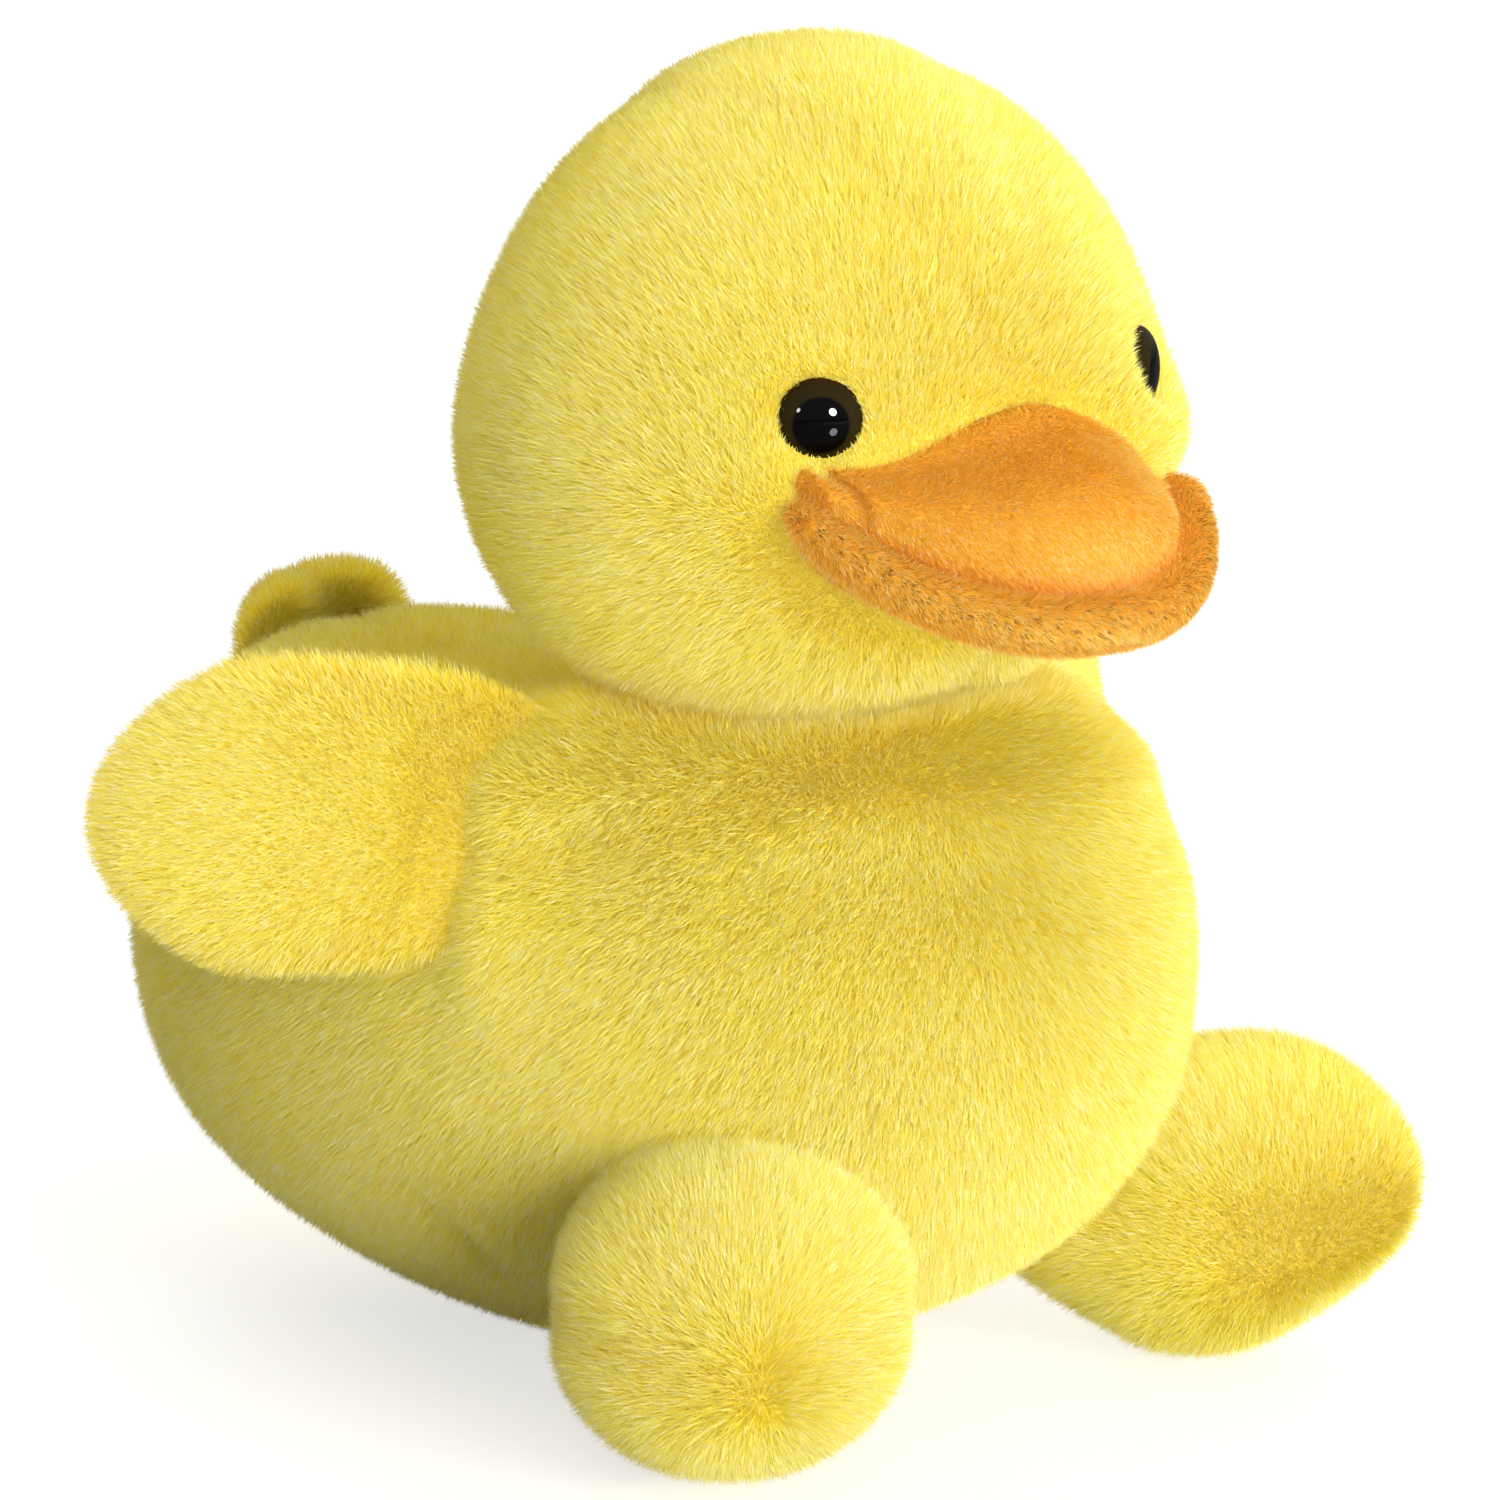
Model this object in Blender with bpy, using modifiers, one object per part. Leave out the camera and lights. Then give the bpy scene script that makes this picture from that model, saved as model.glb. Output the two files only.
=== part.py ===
"""A sitting plush duck: sewn plush panels over stuffing, with a soft bill and safety eyes.

Metres, +Z up. The duck faces -Y, so its left side is at +X. The origin is the middle of
the belly's resting face, on the surface that the duck sits on.
"""

import math
from collections import namedtuple

import bmesh
import bpy
from mathutils import Matrix, Vector
from mathutils.bvhtree import BVHTree

# Cloth, seams and clearances
FABRIC = 0.0045
BILL_FABRIC = 0.0013
POUCH_CLOTH = 0.0007
GAP = 0.0003
OVERRUN = 0.006
REST_FLAT = 0.0005
WELD_DISTANCE = 0.00001

# Body
BODY_HEIGHT = 0.1165
BODY_HALF_WIDTH = 0.059
BODY_FRONT = 0.089
BODY_BACK = 0.093
BODY_LEAN = 0.018
BODY_WIDTH_SHARES = (1.1, 1.08, 1.02, 1.0, 1.04, 1.06, 0.8)
BODY_FRONT_SHARES = (0.9, 0.98, 1.0, 1.0, 1.03, 1.06, 0.8)
BODY_BACK_SHARES = (1.12, 1.13, 1.06, 1.0, 0.98, 0.92, 0.5)
BODY_LEAN_SHARES = (0, 0, 0, 0, 0, -0.22, -1)
BODY_SEAM_FRONT_HEIGHT = 0.097
BODY_SEAM_BACK_HEIGHT = 0.070
BELLY_PANEL_HALF_ANGLE = math.radians(73)

# Head, whose lower half is round about the neck so that it can turn in its seat
HEAD_HEIGHT = 0.098
HEAD_HALF_WIDTH = 0.053
HEAD_FRONT = 0.053
HEAD_BACK = 0.053
HEAD_FORWARD = 0.0325
HEAD_BASE = 0.0925
HEAD_WIDTH_SHARES = (0.934, 1.009, 1.01, 0.99, 0.95, 0.9, 0.8)
HEAD_FRONT_SHARES = (0.934, 1.009, 0.91, 0.85, 0.815, 0.785, 0.7)
HEAD_BACK_SHARES = (0.934, 1.009, 1.01, 0.96, 0.91, 0.87, 0.8)
GUSSET_FRONT_HEIGHT = 0.046
GUSSET_BACK_HEIGHT = 0.022
GUSSET_HALF_ANGLE = math.radians(17)
NECK_OPENING_RADIUS = 0.016
SEAT_GAP = 0.0005

# Bill, measured up from the base of the head and out from the middle of the head
BILL_HALF_WIDTH = 0.0345
BILL_REACH = 0.0545
BILL_CORNER_HEIGHT = 0.044
BILL_FRONT_HEIGHT = 0.0255
BILL_PEAK_HEIGHT = 0.0525
BILL_UNDER_DROP = 0.005
BILL_DOME = 0.0095
BILL_LIP = 0.0065
BILL_LIP_CROWN = 0.0012
BILL_SPREAD = math.radians(70)
BILL_CORNER_SHARE = 0.22
BILL_DOME_RISE = math.radians(31)
BILL_LIP_DIP = math.radians(41)
BILL_PEAK_POWER = 1.3
BILL_DROP_POWER = 1.05
BILL_REACH_POWER = 1.4
BILL_BULGE_POWER = 0.6
BILL_DOME_POWER = 0.85
BILL_LIP_POWER = 0.25
BILL_DOME_SHARES = (0.0, 0.12, 0.28, 0.46, 0.64, 0.8, 0.92, 1.0)
BILL_LIP_SHARES = (0.35, 0.7, 1.0)
BILL_SECTIONS = 20
BILL_UNFILLED_SECTIONS = 4
BILL_SMALLEST_BULGE_SHARE = 0.3
BILL_FILLING_GAP = 0.0012
BILL_MITRE_SMALLEST_SHARE = 0.6

# Eyes: a moulded dome with a ribbed post, held inside the head by a toothed washer
EYE_RADIUS = 0.006
EYE_DOME = 0.0036
EYE_RIM = 0.0008
EYE_SINK = 0.0037
EYE_SPREAD = 0.0318
EYE_HEIGHT = 0.051
EYE_YAW = math.radians(38)
EYE_POST_RADIUS = 0.0016
EYE_RIB_RADIUS = 0.0021
EYE_RIB_PITCH = 0.0014
EYE_POST_LENGTH = 0.010
WASHER_RADIUS = 0.0062
WASHER_THICKNESS = 0.0005
WASHER_RISE = 0.0009
WASHER_TOOTH_RING = 0.0040
WASHER_BORE = 0.0019
WASHER_SLOT = 0.0007
WASHER_TEETH = 6

# Wings, each standing on its rounded root edge
WING_LENGTH = 0.056
WING_HALF_HEIGHT = 0.0205
WING_HALF_THICKNESS = 0.009
WING_ROOT_FORWARD = 0.024
WING_ROOT_HEIGHT = 0.081
WING_SPREAD = math.radians(38)
WING_LIFT = math.radians(2)
WING_TILT = math.radians(12)
WING_NOSE = 0.0015
WING_HEIGHT_SHARES = (1.5, 1.05, 1.0, 1.05, 1.02, 0.95)
WING_THICKNESS_SHARES = (0.35, 0.75, 1.0, 1.05, 1.0, 0.9)

# Feet
FOOT_LENGTH = 0.064
FOOT_HALF_WIDTH = 0.0245
FOOT_HALF_HEIGHT = 0.0220
FOOT_ROOT_APART = 0.0285
FOOT_ROOT_FORWARD = 0.036
FOOT_ROOT_HEIGHT = 0.0270
FOOT_TURNOUT = math.radians(30)
FOOT_DIP = math.radians(8)
FOOT_SHARES = (0.75, 0.85, 1.0, 1.07, 1.0, 0.9)
FOOT_HINGE_HEIGHT = 0.046

# Tail, a short wide flap that follows the round of the back
TAIL_LENGTH = 0.019
TAIL_HALF_WIDTH = 0.0225
TAIL_HALF_THICKNESS = 0.0075
TAIL_HEART_HEIGHT = 0.050
TAIL_ROOT_RISE = math.radians(19.5)
TAIL_LEAN = math.radians(10)
TAIL_BOW = 0.005
TAIL_DROOP = 0.004
TAIL_NOSE = 0.0018
TAIL_WIDTH_SHARES = (1.5, 1.15, 1.0, 0.95, 0.95, 0.9)
TAIL_THICKNESS_SHARES = (0.35, 0.55, 0.85, 1.0, 1.0, 0.9)

# Weighting pouch of plastic pellets low in the body
POUCH_HEIGHT = 0.011
POUCH_HALF_WIDTH = 0.022
POUCH_HALF_DEPTH = 0.025
POUCH_FLOOR = 0.0065
POUCH_OFFSET = 0.004
POUCH_SHARES = (1.5, 1.15, 1.0, 1.15, 1.5)
POUCH_MOUTH_RADIUS = 0.012

# Facets round and along each kind of form
LARGE_FACETS = (32, 16)
LIMB_FACETS = (20, 10)
SEAT_SEGMENTS = 48
TURNED_STEPS = 20
DOME_STEPS = 5

# Colours as they look under plain light, from the photograph
PLUSH_YELLOW = (0.93, 0.72, 0.12, 1)
BILL_ORANGE = (0.94, 0.38, 0.05, 1)
FILLING_WHITE = (0.86, 0.86, 0.83, 1)
EYE_BROWN = (0.02, 0.012, 0.01, 1)
WASHER_WHITE = (0.8, 0.8, 0.78, 1)
POUCH_CREAM = (0.78, 0.74, 0.64, 1)
PELLET_CLEAR = (0.7, 0.72, 0.74, 1)

# Ways that the bill's lines go: into the head, off the dome, out along the lip and off it
INTO_HEAD = Vector((0, 1, 0))
DOME_WAY = Vector((0, -math.cos(BILL_DOME_RISE), math.sin(BILL_DOME_RISE)))
LIP_OUT = Vector((0, -math.cos(BILL_LIP_DIP), -math.sin(BILL_LIP_DIP)))
LIP_WAY = Vector((0, -math.sin(BILL_LIP_DIP), math.cos(BILL_LIP_DIP)))

Form = namedtuple(
    "Form",
    "length half_width half_front half_back width_shares front_shares back_shares"
    " lean lean_shares bow droop facets",
)

BODY = Form(
    BODY_HEIGHT + REST_FLAT, BODY_HALF_WIDTH, BODY_FRONT, BODY_BACK,
    BODY_WIDTH_SHARES, BODY_FRONT_SHARES, BODY_BACK_SHARES,
    BODY_LEAN, BODY_LEAN_SHARES, 0, 0, LARGE_FACETS,
)
HEAD = Form(
    HEAD_HEIGHT, HEAD_HALF_WIDTH, HEAD_FRONT, HEAD_BACK,
    HEAD_WIDTH_SHARES, HEAD_FRONT_SHARES, HEAD_BACK_SHARES,
    0, (0, 0), 0, 0, LARGE_FACETS,
)
WING = Form(
    WING_LENGTH, WING_HALF_HEIGHT, WING_HALF_THICKNESS, WING_HALF_THICKNESS,
    WING_HEIGHT_SHARES, WING_THICKNESS_SHARES, WING_THICKNESS_SHARES,
    0, (0, 0), 0, 0, LIMB_FACETS,
)
FOOT = Form(
    FOOT_LENGTH, FOOT_HALF_WIDTH, FOOT_HALF_HEIGHT, FOOT_HALF_HEIGHT,
    FOOT_SHARES, FOOT_SHARES, FOOT_SHARES,
    0, (0, 0), 0, 0, LIMB_FACETS,
)
TAIL = Form(
    TAIL_LENGTH, TAIL_HALF_WIDTH, TAIL_HALF_THICKNESS, TAIL_HALF_THICKNESS,
    TAIL_WIDTH_SHARES, TAIL_THICKNESS_SHARES, TAIL_THICKNESS_SHARES,
    0, (0, 0), -TAIL_BOW, -TAIL_DROOP, LIMB_FACETS,
)
POUCH = Form(
    POUCH_HEIGHT, POUCH_HALF_WIDTH, POUCH_HALF_DEPTH, POUCH_HALF_DEPTH,
    POUCH_SHARES, POUCH_SHARES, POUCH_SHARES,
    0, (0, 0), 0, 0, LIMB_FACETS,
)


def smooth_share(shares, place):
    """Read evenly spaced shares at a place from 0 to 1, on a smooth curve through them."""
    last = len(shares) - 1
    along = min(max(place, 0), 1) * last
    index = min(int(along), last - 1)
    part = along - index
    before, here, after, beyond = (
        shares[min(max(index + step, 0), last)] for step in (-1, 0, 1, 2)
    )
    if index == 0:
        before = 2 * here - after
    if index == last - 1:
        beyond = 2 * after - here
    rise = after - before
    bend = 2 * before - 5 * here + 4 * after - beyond
    twist = 3 * here - before - 3 * after + beyond
    return here + (rise * part + bend * part ** 2 + twist * part ** 3) / 2


def swelled(form, inset=0.0, finer=1.0, segments=None):
    """A unit sphere drawn out to a form, with its surface moved in by inset."""
    round_facets = segments or int(form.facets[0] * finer)
    long_facets = int(form.facets[1] * finer)
    half_step = Matrix.Rotation(math.pi / round_facets, 4, "Z")
    mesh = bmesh.new()
    bmesh.ops.create_uvsphere(
        mesh, u_segments=round_facets, v_segments=long_facets, radius=1, matrix=half_step
    )
    for vert in mesh.verts:
        across, deep, high = vert.co
        place = (high + 1) / 2
        to_front = deep < 0
        half_depth = form.half_front if to_front else form.half_back
        depth_shares = form.front_shares if to_front else form.back_shares
        width = (form.half_width - inset) * smooth_share(form.width_shares, place)
        depth = (half_depth - inset) * smooth_share(depth_shares, place)
        sideways = (width * across / form.half_width) ** 2
        lean = form.lean * smooth_share(form.lean_shares, place) + form.bow * sideways
        rise = inset + place * (form.length - 2 * inset) + form.droop * sideways
        vert.co = (width * across, depth * deep + lean, rise)
    return mesh


def joined(first, second):
    """Put the second mesh into the first one."""
    carrier = bpy.data.meshes.new("carrier")
    second.to_mesh(carrier)
    second.free()
    first.from_mesh(carrier)
    bpy.data.meshes.remove(carrier)
    return first


def skin(form, wall=FABRIC):
    """A form's outside with its plainer inside, turned inside out, one wall further in."""
    inside = swelled(form, wall, finer=0.5)
    bmesh.ops.reverse_faces(inside, faces=inside.faces)
    return joined(swelled(form), inside)


def filling(form, wall=FABRIC):
    """What fills a skin, clear of its inside."""
    return swelled(form, wall + GAP, finer=0.5)


def keep(mesh, point, inward):
    """Cut a closed mesh with a plane, keep the side that inward points to and close it."""
    cut = bmesh.ops.bisect_plane(
        mesh, geom=mesh.verts[:] + mesh.edges[:] + mesh.faces[:],
        plane_co=point, plane_no=inward, clear_inner=True,
    )
    rim = [item for item in cut["geom_cut"] if isinstance(item, bmesh.types.BMEdge)]
    bmesh.ops.triangle_fill(mesh, use_beauty=True, edges=rim, normal=-inward)
    bmesh.ops.recalc_face_normals(mesh, faces=mesh.faces)
    return mesh


def seam_sector(mesh, start, end, first, last):
    """Keep the panel between two seam planes that hang, at two angles, on one line.

    The angles are measured about the line, from straight down towards the duck's left.
    """
    along = (end - start).normalized()
    down = Vector((0, 0, -1))
    down = (down - along * down.dot(along)).normalized()
    left = Vector((1, 0, 0))
    for angle, side in ((first, 1), (last, -1)):
        inward = side * (left * math.cos(angle) - down * math.sin(angle))
        keep(mesh, start + inward * GAP / 2, inward)
    return mesh


def frame_at(point, along, back):
    """A placement whose Z is along, with its Y as near to back as it can be."""
    along = along.normalized()
    back = (back - along * back.dot(along)).normalized()
    side = back.cross(along)
    turn = Matrix((side, back, along)).transposed().to_4x4()
    return Matrix.Translation(point) @ turn


def placed(mesh, placement):
    """Move a mesh to its placement."""
    bmesh.ops.transform(mesh, matrix=placement, verts=mesh.verts)
    return mesh


def surface_hit(surface, origin, direction):
    """Where a ray meets a form's surface, and the way that the surface faces there."""
    place, normal, _, _ = surface.ray_cast(origin, direction)
    return place, normal


def plain_material(name, colour, roughness):
    """A Principled material with one colour and no metal."""
    material = bpy.data.materials.new(name)
    material.use_nodes = True
    shader = material.node_tree.nodes["Principled BSDF"]
    shader.inputs["Base Color"].default_value = colour
    shader.inputs["Roughness"].default_value = roughness
    shader.inputs["Metallic"].default_value = 0
    return material


class Duck:
    """The collections, materials and joint empties that every piece is made into."""

    def __init__(self):
        self.parts = bpy.data.collections.new("plush_duck")
        self.cutters = bpy.data.collections.new("cutters")
        for collection in (self.parts, self.cutters):
            bpy.context.scene.collection.children.link(collection)
        self.materials = {
            "plush": plain_material("yellow_plush", PLUSH_YELLOW, 0.9),
            "bill": plain_material("orange_plush", BILL_ORANGE, 0.85),
            "filling": plain_material("polyester_filling", FILLING_WHITE, 1.0),
            "eye": plain_material("eye_plastic", EYE_BROWN, 0.12),
            "washer": plain_material("washer_plastic", WASHER_WHITE, 0.4),
            "pouch": plain_material("pouch_cloth", POUCH_CREAM, 0.9),
            "pellet": plain_material("pellet_plastic", PELLET_CLEAR, 0.3),
        }
        self.empties = {}

    def joint(self, name, point):
        """An empty on a joint's axis, which carries the pieces that move there."""
        empty = bpy.data.objects.new(name, None)
        empty.empty_display_size = EYE_RADIUS
        empty.location = point
        self.parts.objects.link(empty)
        self.empties[name] = empty

    def shape(self, name, mesh):
        """A smooth-shaded object of a mesh, in no collection yet."""
        data = bpy.data.meshes.new(name)
        mesh.to_mesh(data)
        mesh.free()
        data.shade_smooth()
        data.set_sharp_from_angle(angle=math.radians(40))
        return bpy.data.objects.new(name, data)

    def piece(self, name, mesh, material, joint=None):
        """One sub-part of the duck, hung on its joint's empty where it has one."""
        if joint:
            placed(mesh, Matrix.Translation(-self.empties[joint].location))
        piece = self.shape(name, mesh)
        piece.data.materials.append(self.materials[material])
        piece.parent = self.empties[joint] if joint else None
        self.parts.objects.link(piece)
        return piece

    def cutter(self, name, mesh):
        """A guide that other pieces are cut with."""
        cutter = self.shape(name, mesh)
        cutter.hide_render = True
        cutter.display_type = "WIRE"
        self.cutters.objects.link(cutter)
        return cutter


def cut(piece, cutter):
    """Take a cutter's shape out of a piece."""
    boolean = piece.modifiers.new(cutter.name, "BOOLEAN")
    boolean.operation = "DIFFERENCE"
    boolean.solver = "EXACT"
    boolean.object = cutter


def turned(name, profile, placement, steps=TURNED_STEPS):
    """A mesh turned about Z from a profile that runs down its outer side."""
    outline = bmesh.new()
    points = [outline.verts.new((radius, 0, height)) for radius, height in profile]
    for first, second in zip(points, points[1:]):
        outline.edges.new((first, second))
    data = bpy.data.meshes.new(name)
    outline.to_mesh(data)
    outline.free()
    guide = bpy.data.objects.new(name, data)
    bpy.context.scene.collection.objects.link(guide)
    screw = guide.modifiers.new("turn", "SCREW")
    screw.steps = steps
    screw.render_steps = steps
    screw.use_merge_vertices = True
    screw.merge_threshold = WELD_DISTANCE
    whole = bpy.data.meshes.new_from_object(
        guide.evaluated_get(bpy.context.evaluated_depsgraph_get())
    )
    mesh = bmesh.new()
    mesh.from_mesh(whole)
    bpy.data.objects.remove(guide)
    bpy.data.meshes.remove(data)
    bpy.data.meshes.remove(whole)
    return placed(mesh, placement)


def drum(name, radius, bottom, top, placement=Matrix(), steps=TURNED_STEPS):
    """A plain turned cylinder from bottom to top."""
    return turned(name, [(0, top), (radius, top), (radius, bottom), (0, bottom)], placement, steps)


def build_body(duck, body_place, head_seat):
    """The belly and back panels, their filling and the pouch of pellets that weights them."""
    neck = Vector((0, -HEAD_FORWARD, BODY_SEAM_FRONT_HEIGHT))
    rear = Vector((0, BODY_BACK, BODY_SEAM_BACK_HEIGHT))
    half = BELLY_PANEL_HALF_ANGLE
    panels = (
        ("belly_panel", -half, half),
        ("back_panel_left", half, math.pi),
        ("back_panel_right", math.pi, 2 * math.pi - half),
    )
    for name, first, last in panels:
        mesh = placed(skin(BODY), body_place)
        seam_sector(mesh, neck, rear, first, last)
        if name == "belly_panel":
            keep(mesh, Vector((0, 0, 0)), Vector((0, 0, 1)))
        cut(duck.piece(name, mesh, "plush"), head_seat)

    stuffing = duck.piece("body_stuffing", placed(filling(BODY), body_place), "filling")
    cut(stuffing, head_seat)

    pouch_place = Matrix.Translation((0, POUCH_OFFSET, POUCH_FLOOR))
    pocket = placed(swelled(POUCH, -GAP), pouch_place)
    cut(stuffing, duck.cutter("pouch_pocket", pocket))
    mouth_place = Matrix.Translation((0, POUCH_OFFSET, 0))
    mouth = drum("mouth", POUCH_MOUTH_RADIUS, -OVERRUN, POUCH_FLOOR + POUCH_HEIGHT / 2, mouth_place)
    cut(stuffing, duck.cutter("pouch_mouth", mouth))

    seam = Vector((0, 0, POUCH_FLOOR + POUCH_HEIGHT / 2))
    for name, way in (("pellet_pouch_base", -1), ("pellet_pouch_top", 1)):
        inside = swelled(POUCH, POUCH_CLOTH)
        bmesh.ops.reverse_faces(inside, faces=inside.faces)
        mesh = placed(joined(swelled(POUCH), inside), pouch_place)
        inward = Vector((0, 0, way))
        duck.piece(name, keep(mesh, seam + inward * GAP / 2, inward), "pouch")
    pellets = swelled(POUCH, POUCH_CLOTH + GAP)
    duck.piece("pellet_fill", placed(pellets, pouch_place), "pellet")


def build_head(duck, head_place, eye_cutters):
    """The gusset over the crown, the two cheek panels and the filling."""
    front = head_place @ Vector((0, -HEAD_FRONT, GUSSET_FRONT_HEIGHT))
    nape = head_place @ Vector((0, HEAD_BACK, GUSSET_BACK_HEIGHT))
    neck_hole = duck.cutter(
        "neck_hole", drum("hole", NECK_OPENING_RADIUS, -OVERRUN, OVERRUN, head_place)
    )
    half = GUSSET_HALF_ANGLE
    panels = (
        ("head_side_left", 0, math.pi - half),
        ("head_side_right", math.pi + half, 2 * math.pi),
        ("head_gusset", math.pi - half, math.pi + half),
    )
    for name, first, last in panels:
        mesh = seam_sector(placed(skin(HEAD), head_place), front, nape, first, last)
        panel = duck.piece(name, mesh, "plush", "head_turn")
        if name != "head_gusset":
            cut(panel, neck_hole)
            cut(panel, eye_cutters[name.rsplit("_", 1)[1]])
    stuffing = duck.piece(
        "head_stuffing", placed(filling(HEAD), head_place), "filling", "head_turn"
    )
    for cutter in eye_cutters.values():
        cut(stuffing, cutter)


def eye_placement(side, head_surface):
    """Where an eye's rim sits on the head, with Z pointing out of the head."""
    outward = Vector((side * math.sin(EYE_YAW), -math.cos(EYE_YAW), 0))
    start = Vector((side * EYE_SPREAD, -HEAD_FORWARD - HEAD_FRONT - OVERRUN, HEAD_BASE + EYE_HEIGHT))
    place, _ = surface_hit(head_surface, start, Vector((0, 1, 0)))
    return frame_at(place, outward, Vector((0, 0, 1)))


def eye_cutter(duck, name, placement):
    """The seat of an eye: the sunk ring, the post's hole and the washer's pocket."""
    hole = EYE_RIB_RADIUS + GAP
    pocket = WASHER_RADIUS + GAP
    pocket_floor = -FABRIC - 2 * GAP - WASHER_THICKNESS - WASHER_RISE
    hole_floor = -EYE_SINK - EYE_POST_LENGTH - GAP
    profile = [
        (0, OVERRUN), (EYE_RADIUS + GAP, OVERRUN), (EYE_RADIUS + GAP, -EYE_SINK),
        (hole, -EYE_SINK), (hole, -FABRIC), (pocket, -FABRIC),
        (pocket, pocket_floor), (hole, pocket_floor), (hole, hole_floor), (0, hole_floor),
    ]
    return duck.cutter(name, turned(name, profile, placement))


def eye_profile():
    """Down the outside of an eye: dome, rim, flat underside and the ribbed post."""
    profile = []
    for step in range(DOME_STEPS + 1):
        angle = math.pi / 2 * step / DOME_STEPS
        profile.append((EYE_RADIUS * math.sin(angle), EYE_RIM + EYE_DOME * math.cos(angle)))
    profile += [(EYE_RADIUS, 0), (EYE_POST_RADIUS, 0)]
    first_rib = WASHER_THICKNESS + WASHER_RISE + FABRIC - EYE_SINK + GAP
    ribs = int((EYE_POST_LENGTH - first_rib) / EYE_RIB_PITCH)
    for rib in range(ribs):
        top = -first_rib - rib * EYE_RIB_PITCH
        profile += [
            (EYE_POST_RADIUS, top), (EYE_RIB_RADIUS, top), (EYE_POST_RADIUS, top - EYE_RIB_PITCH / 2)
        ]
    profile += [(EYE_POST_RADIUS, -EYE_POST_LENGTH), (0, -EYE_POST_LENGTH)]
    return profile


def washer_mesh(name, placement):
    """A lock washer: a flat ring whose slotted inner teeth rise along the post."""
    top = -(FABRIC - EYE_SINK) - 2 * GAP
    profile = [
        (WASHER_RADIUS, top), (WASHER_RADIUS, top - WASHER_THICKNESS),
        (WASHER_TOOTH_RING, top - WASHER_THICKNESS),
        (WASHER_BORE, top - WASHER_RISE),
        (WASHER_BORE, top - WASHER_THICKNESS),
        (WASHER_TOOTH_RING, top), (WASHER_RADIUS, top),
    ]
    return turned(name, profile, placement)


def build_eyes(duck, places):
    """Both eyes with their washers, and the slots that make the washers' teeth."""
    for side_name, place in places.items():
        seat = place @ Matrix.Translation((0, 0, -EYE_SINK + GAP))
        duck.piece("eye_" + side_name, turned("eye", eye_profile(), seat), "eye", "head_turn")
        name = "eye_washer_" + side_name
        washer = duck.piece(name, washer_mesh(name, seat), "washer", "head_turn")
        slots = bmesh.new()
        reach = WASHER_TOOTH_RING - WASHER_BORE / 2
        for tooth in range(WASHER_TEETH):
            turn = Matrix.Rotation(2 * math.pi * tooth / WASHER_TEETH, 4, "Z")
            middle = Matrix.Translation((WASHER_BORE / 2 + reach / 2, 0, 0))
            size = Matrix.Diagonal((reach, WASHER_SLOT, 2 * OVERRUN, 1))
            bmesh.ops.create_cube(slots, size=1, matrix=turn @ middle @ size)
        cut(washer, duck.cutter("washer_slots_" + side_name, placed(slots, seat)))


def bill_sections(head_surface):
    """Points of the bill's upper line, stitched groove, lip edge and lower line."""
    ahead = Vector((0, 1, 0))
    out_of_head = -HEAD_FORWARD - HEAD_FRONT - BILL_REACH

    def on_face(across, height):
        place, _ = surface_hit(head_surface, Vector((across, out_of_head, height)), ahead)
        return place

    corner_height = HEAD_BASE + BILL_CORNER_HEIGHT
    corner = on_face(BILL_HALF_WIDTH, corner_height)
    front = -HEAD_FORWARD - BILL_REACH
    for step in range(BILL_SECTIONS + 1):
        angle = BILL_SPREAD * (2 * step / BILL_SECTIONS - 1)
        fullness = (math.cos(angle) - math.cos(BILL_SPREAD)) / (1 - math.cos(BILL_SPREAD))
        full = BILL_CORNER_SHARE + (1 - BILL_CORNER_SHARE) * fullness
        across = BILL_HALF_WIDTH * math.sin(angle) / math.sin(BILL_SPREAD)
        peak = corner_height + (BILL_PEAK_HEIGHT - BILL_CORNER_HEIGHT) * full ** BILL_PEAK_POWER
        upper = on_face(across, peak)
        drop = (BILL_CORNER_HEIGHT - BILL_FRONT_HEIGHT) * full ** BILL_DROP_POWER
        reach = corner.y + (front - corner.y) * full ** BILL_REACH_POWER
        groove = Vector((across, reach, corner_height - drop))
        outward = (Vector((math.sin(angle), 0, 0)) + LIP_OUT * full).normalized()
        lip = groove + outward * BILL_LIP * full ** BILL_LIP_POWER
        lower = on_face(across, groove.z - BILL_UNDER_DROP)
        bulge = BILL_DOME * max(full ** BILL_BULGE_POWER, BILL_SMALLEST_BULGE_SHARE)
        yield upper, groove, lip, lower, bulge


def upper_line(upper, groove, lip, bulge):
    """One line over the bill, from inside the head over the dome, to the lip's edge."""
    line = [upper + INTO_HEAD * BILL_FABRIC]
    for place in BILL_DOME_SHARES:
        rise = bulge * math.sin(math.pi * place ** BILL_DOME_POWER)
        line.append(upper.lerp(groove, place) + DOME_WAY * rise)
    for place in BILL_LIP_SHARES:
        crown = BILL_LIP_CROWN * math.sin(math.pi * place)
        line.append(groove.lerp(lip, place) + LIP_WAY * crown)
    return line


def lower_line(groove, lip, lower):
    """One line under the bill, from the lip's edge back into the head."""
    drop = LIP_WAY * (2 * BILL_FABRIC + GAP)
    line = [lip - drop, groove.lerp(lip, 0.5) - drop, groove - drop]
    line.append(((groove - drop) + lower) / 2 - LIP_WAY * GAP)
    line.append(lower)
    line.append(lower + INTO_HEAD * BILL_FABRIC)
    return line


def filling_outline(upper, groove, lip, lower, bulge):
    """A closed outline, one cloth in from the bill's panels, that runs back into the head."""
    over = upper_line(upper, groove, lip, bulge)[1:len(BILL_DOME_SHARES)]
    under = lower_line(groove, lip, lower)
    edge = groove - LIP_WAY * (BILL_FABRIC + GAP / 2)
    outline = [over[0] + INTO_HEAD * BILL_HALF_WIDTH] + over + [edge] + under[3:5]
    outline.append(lower + INTO_HEAD * BILL_HALF_WIDTH)
    return inset_outline(outline, BILL_FABRIC + BILL_FILLING_GAP)


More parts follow.
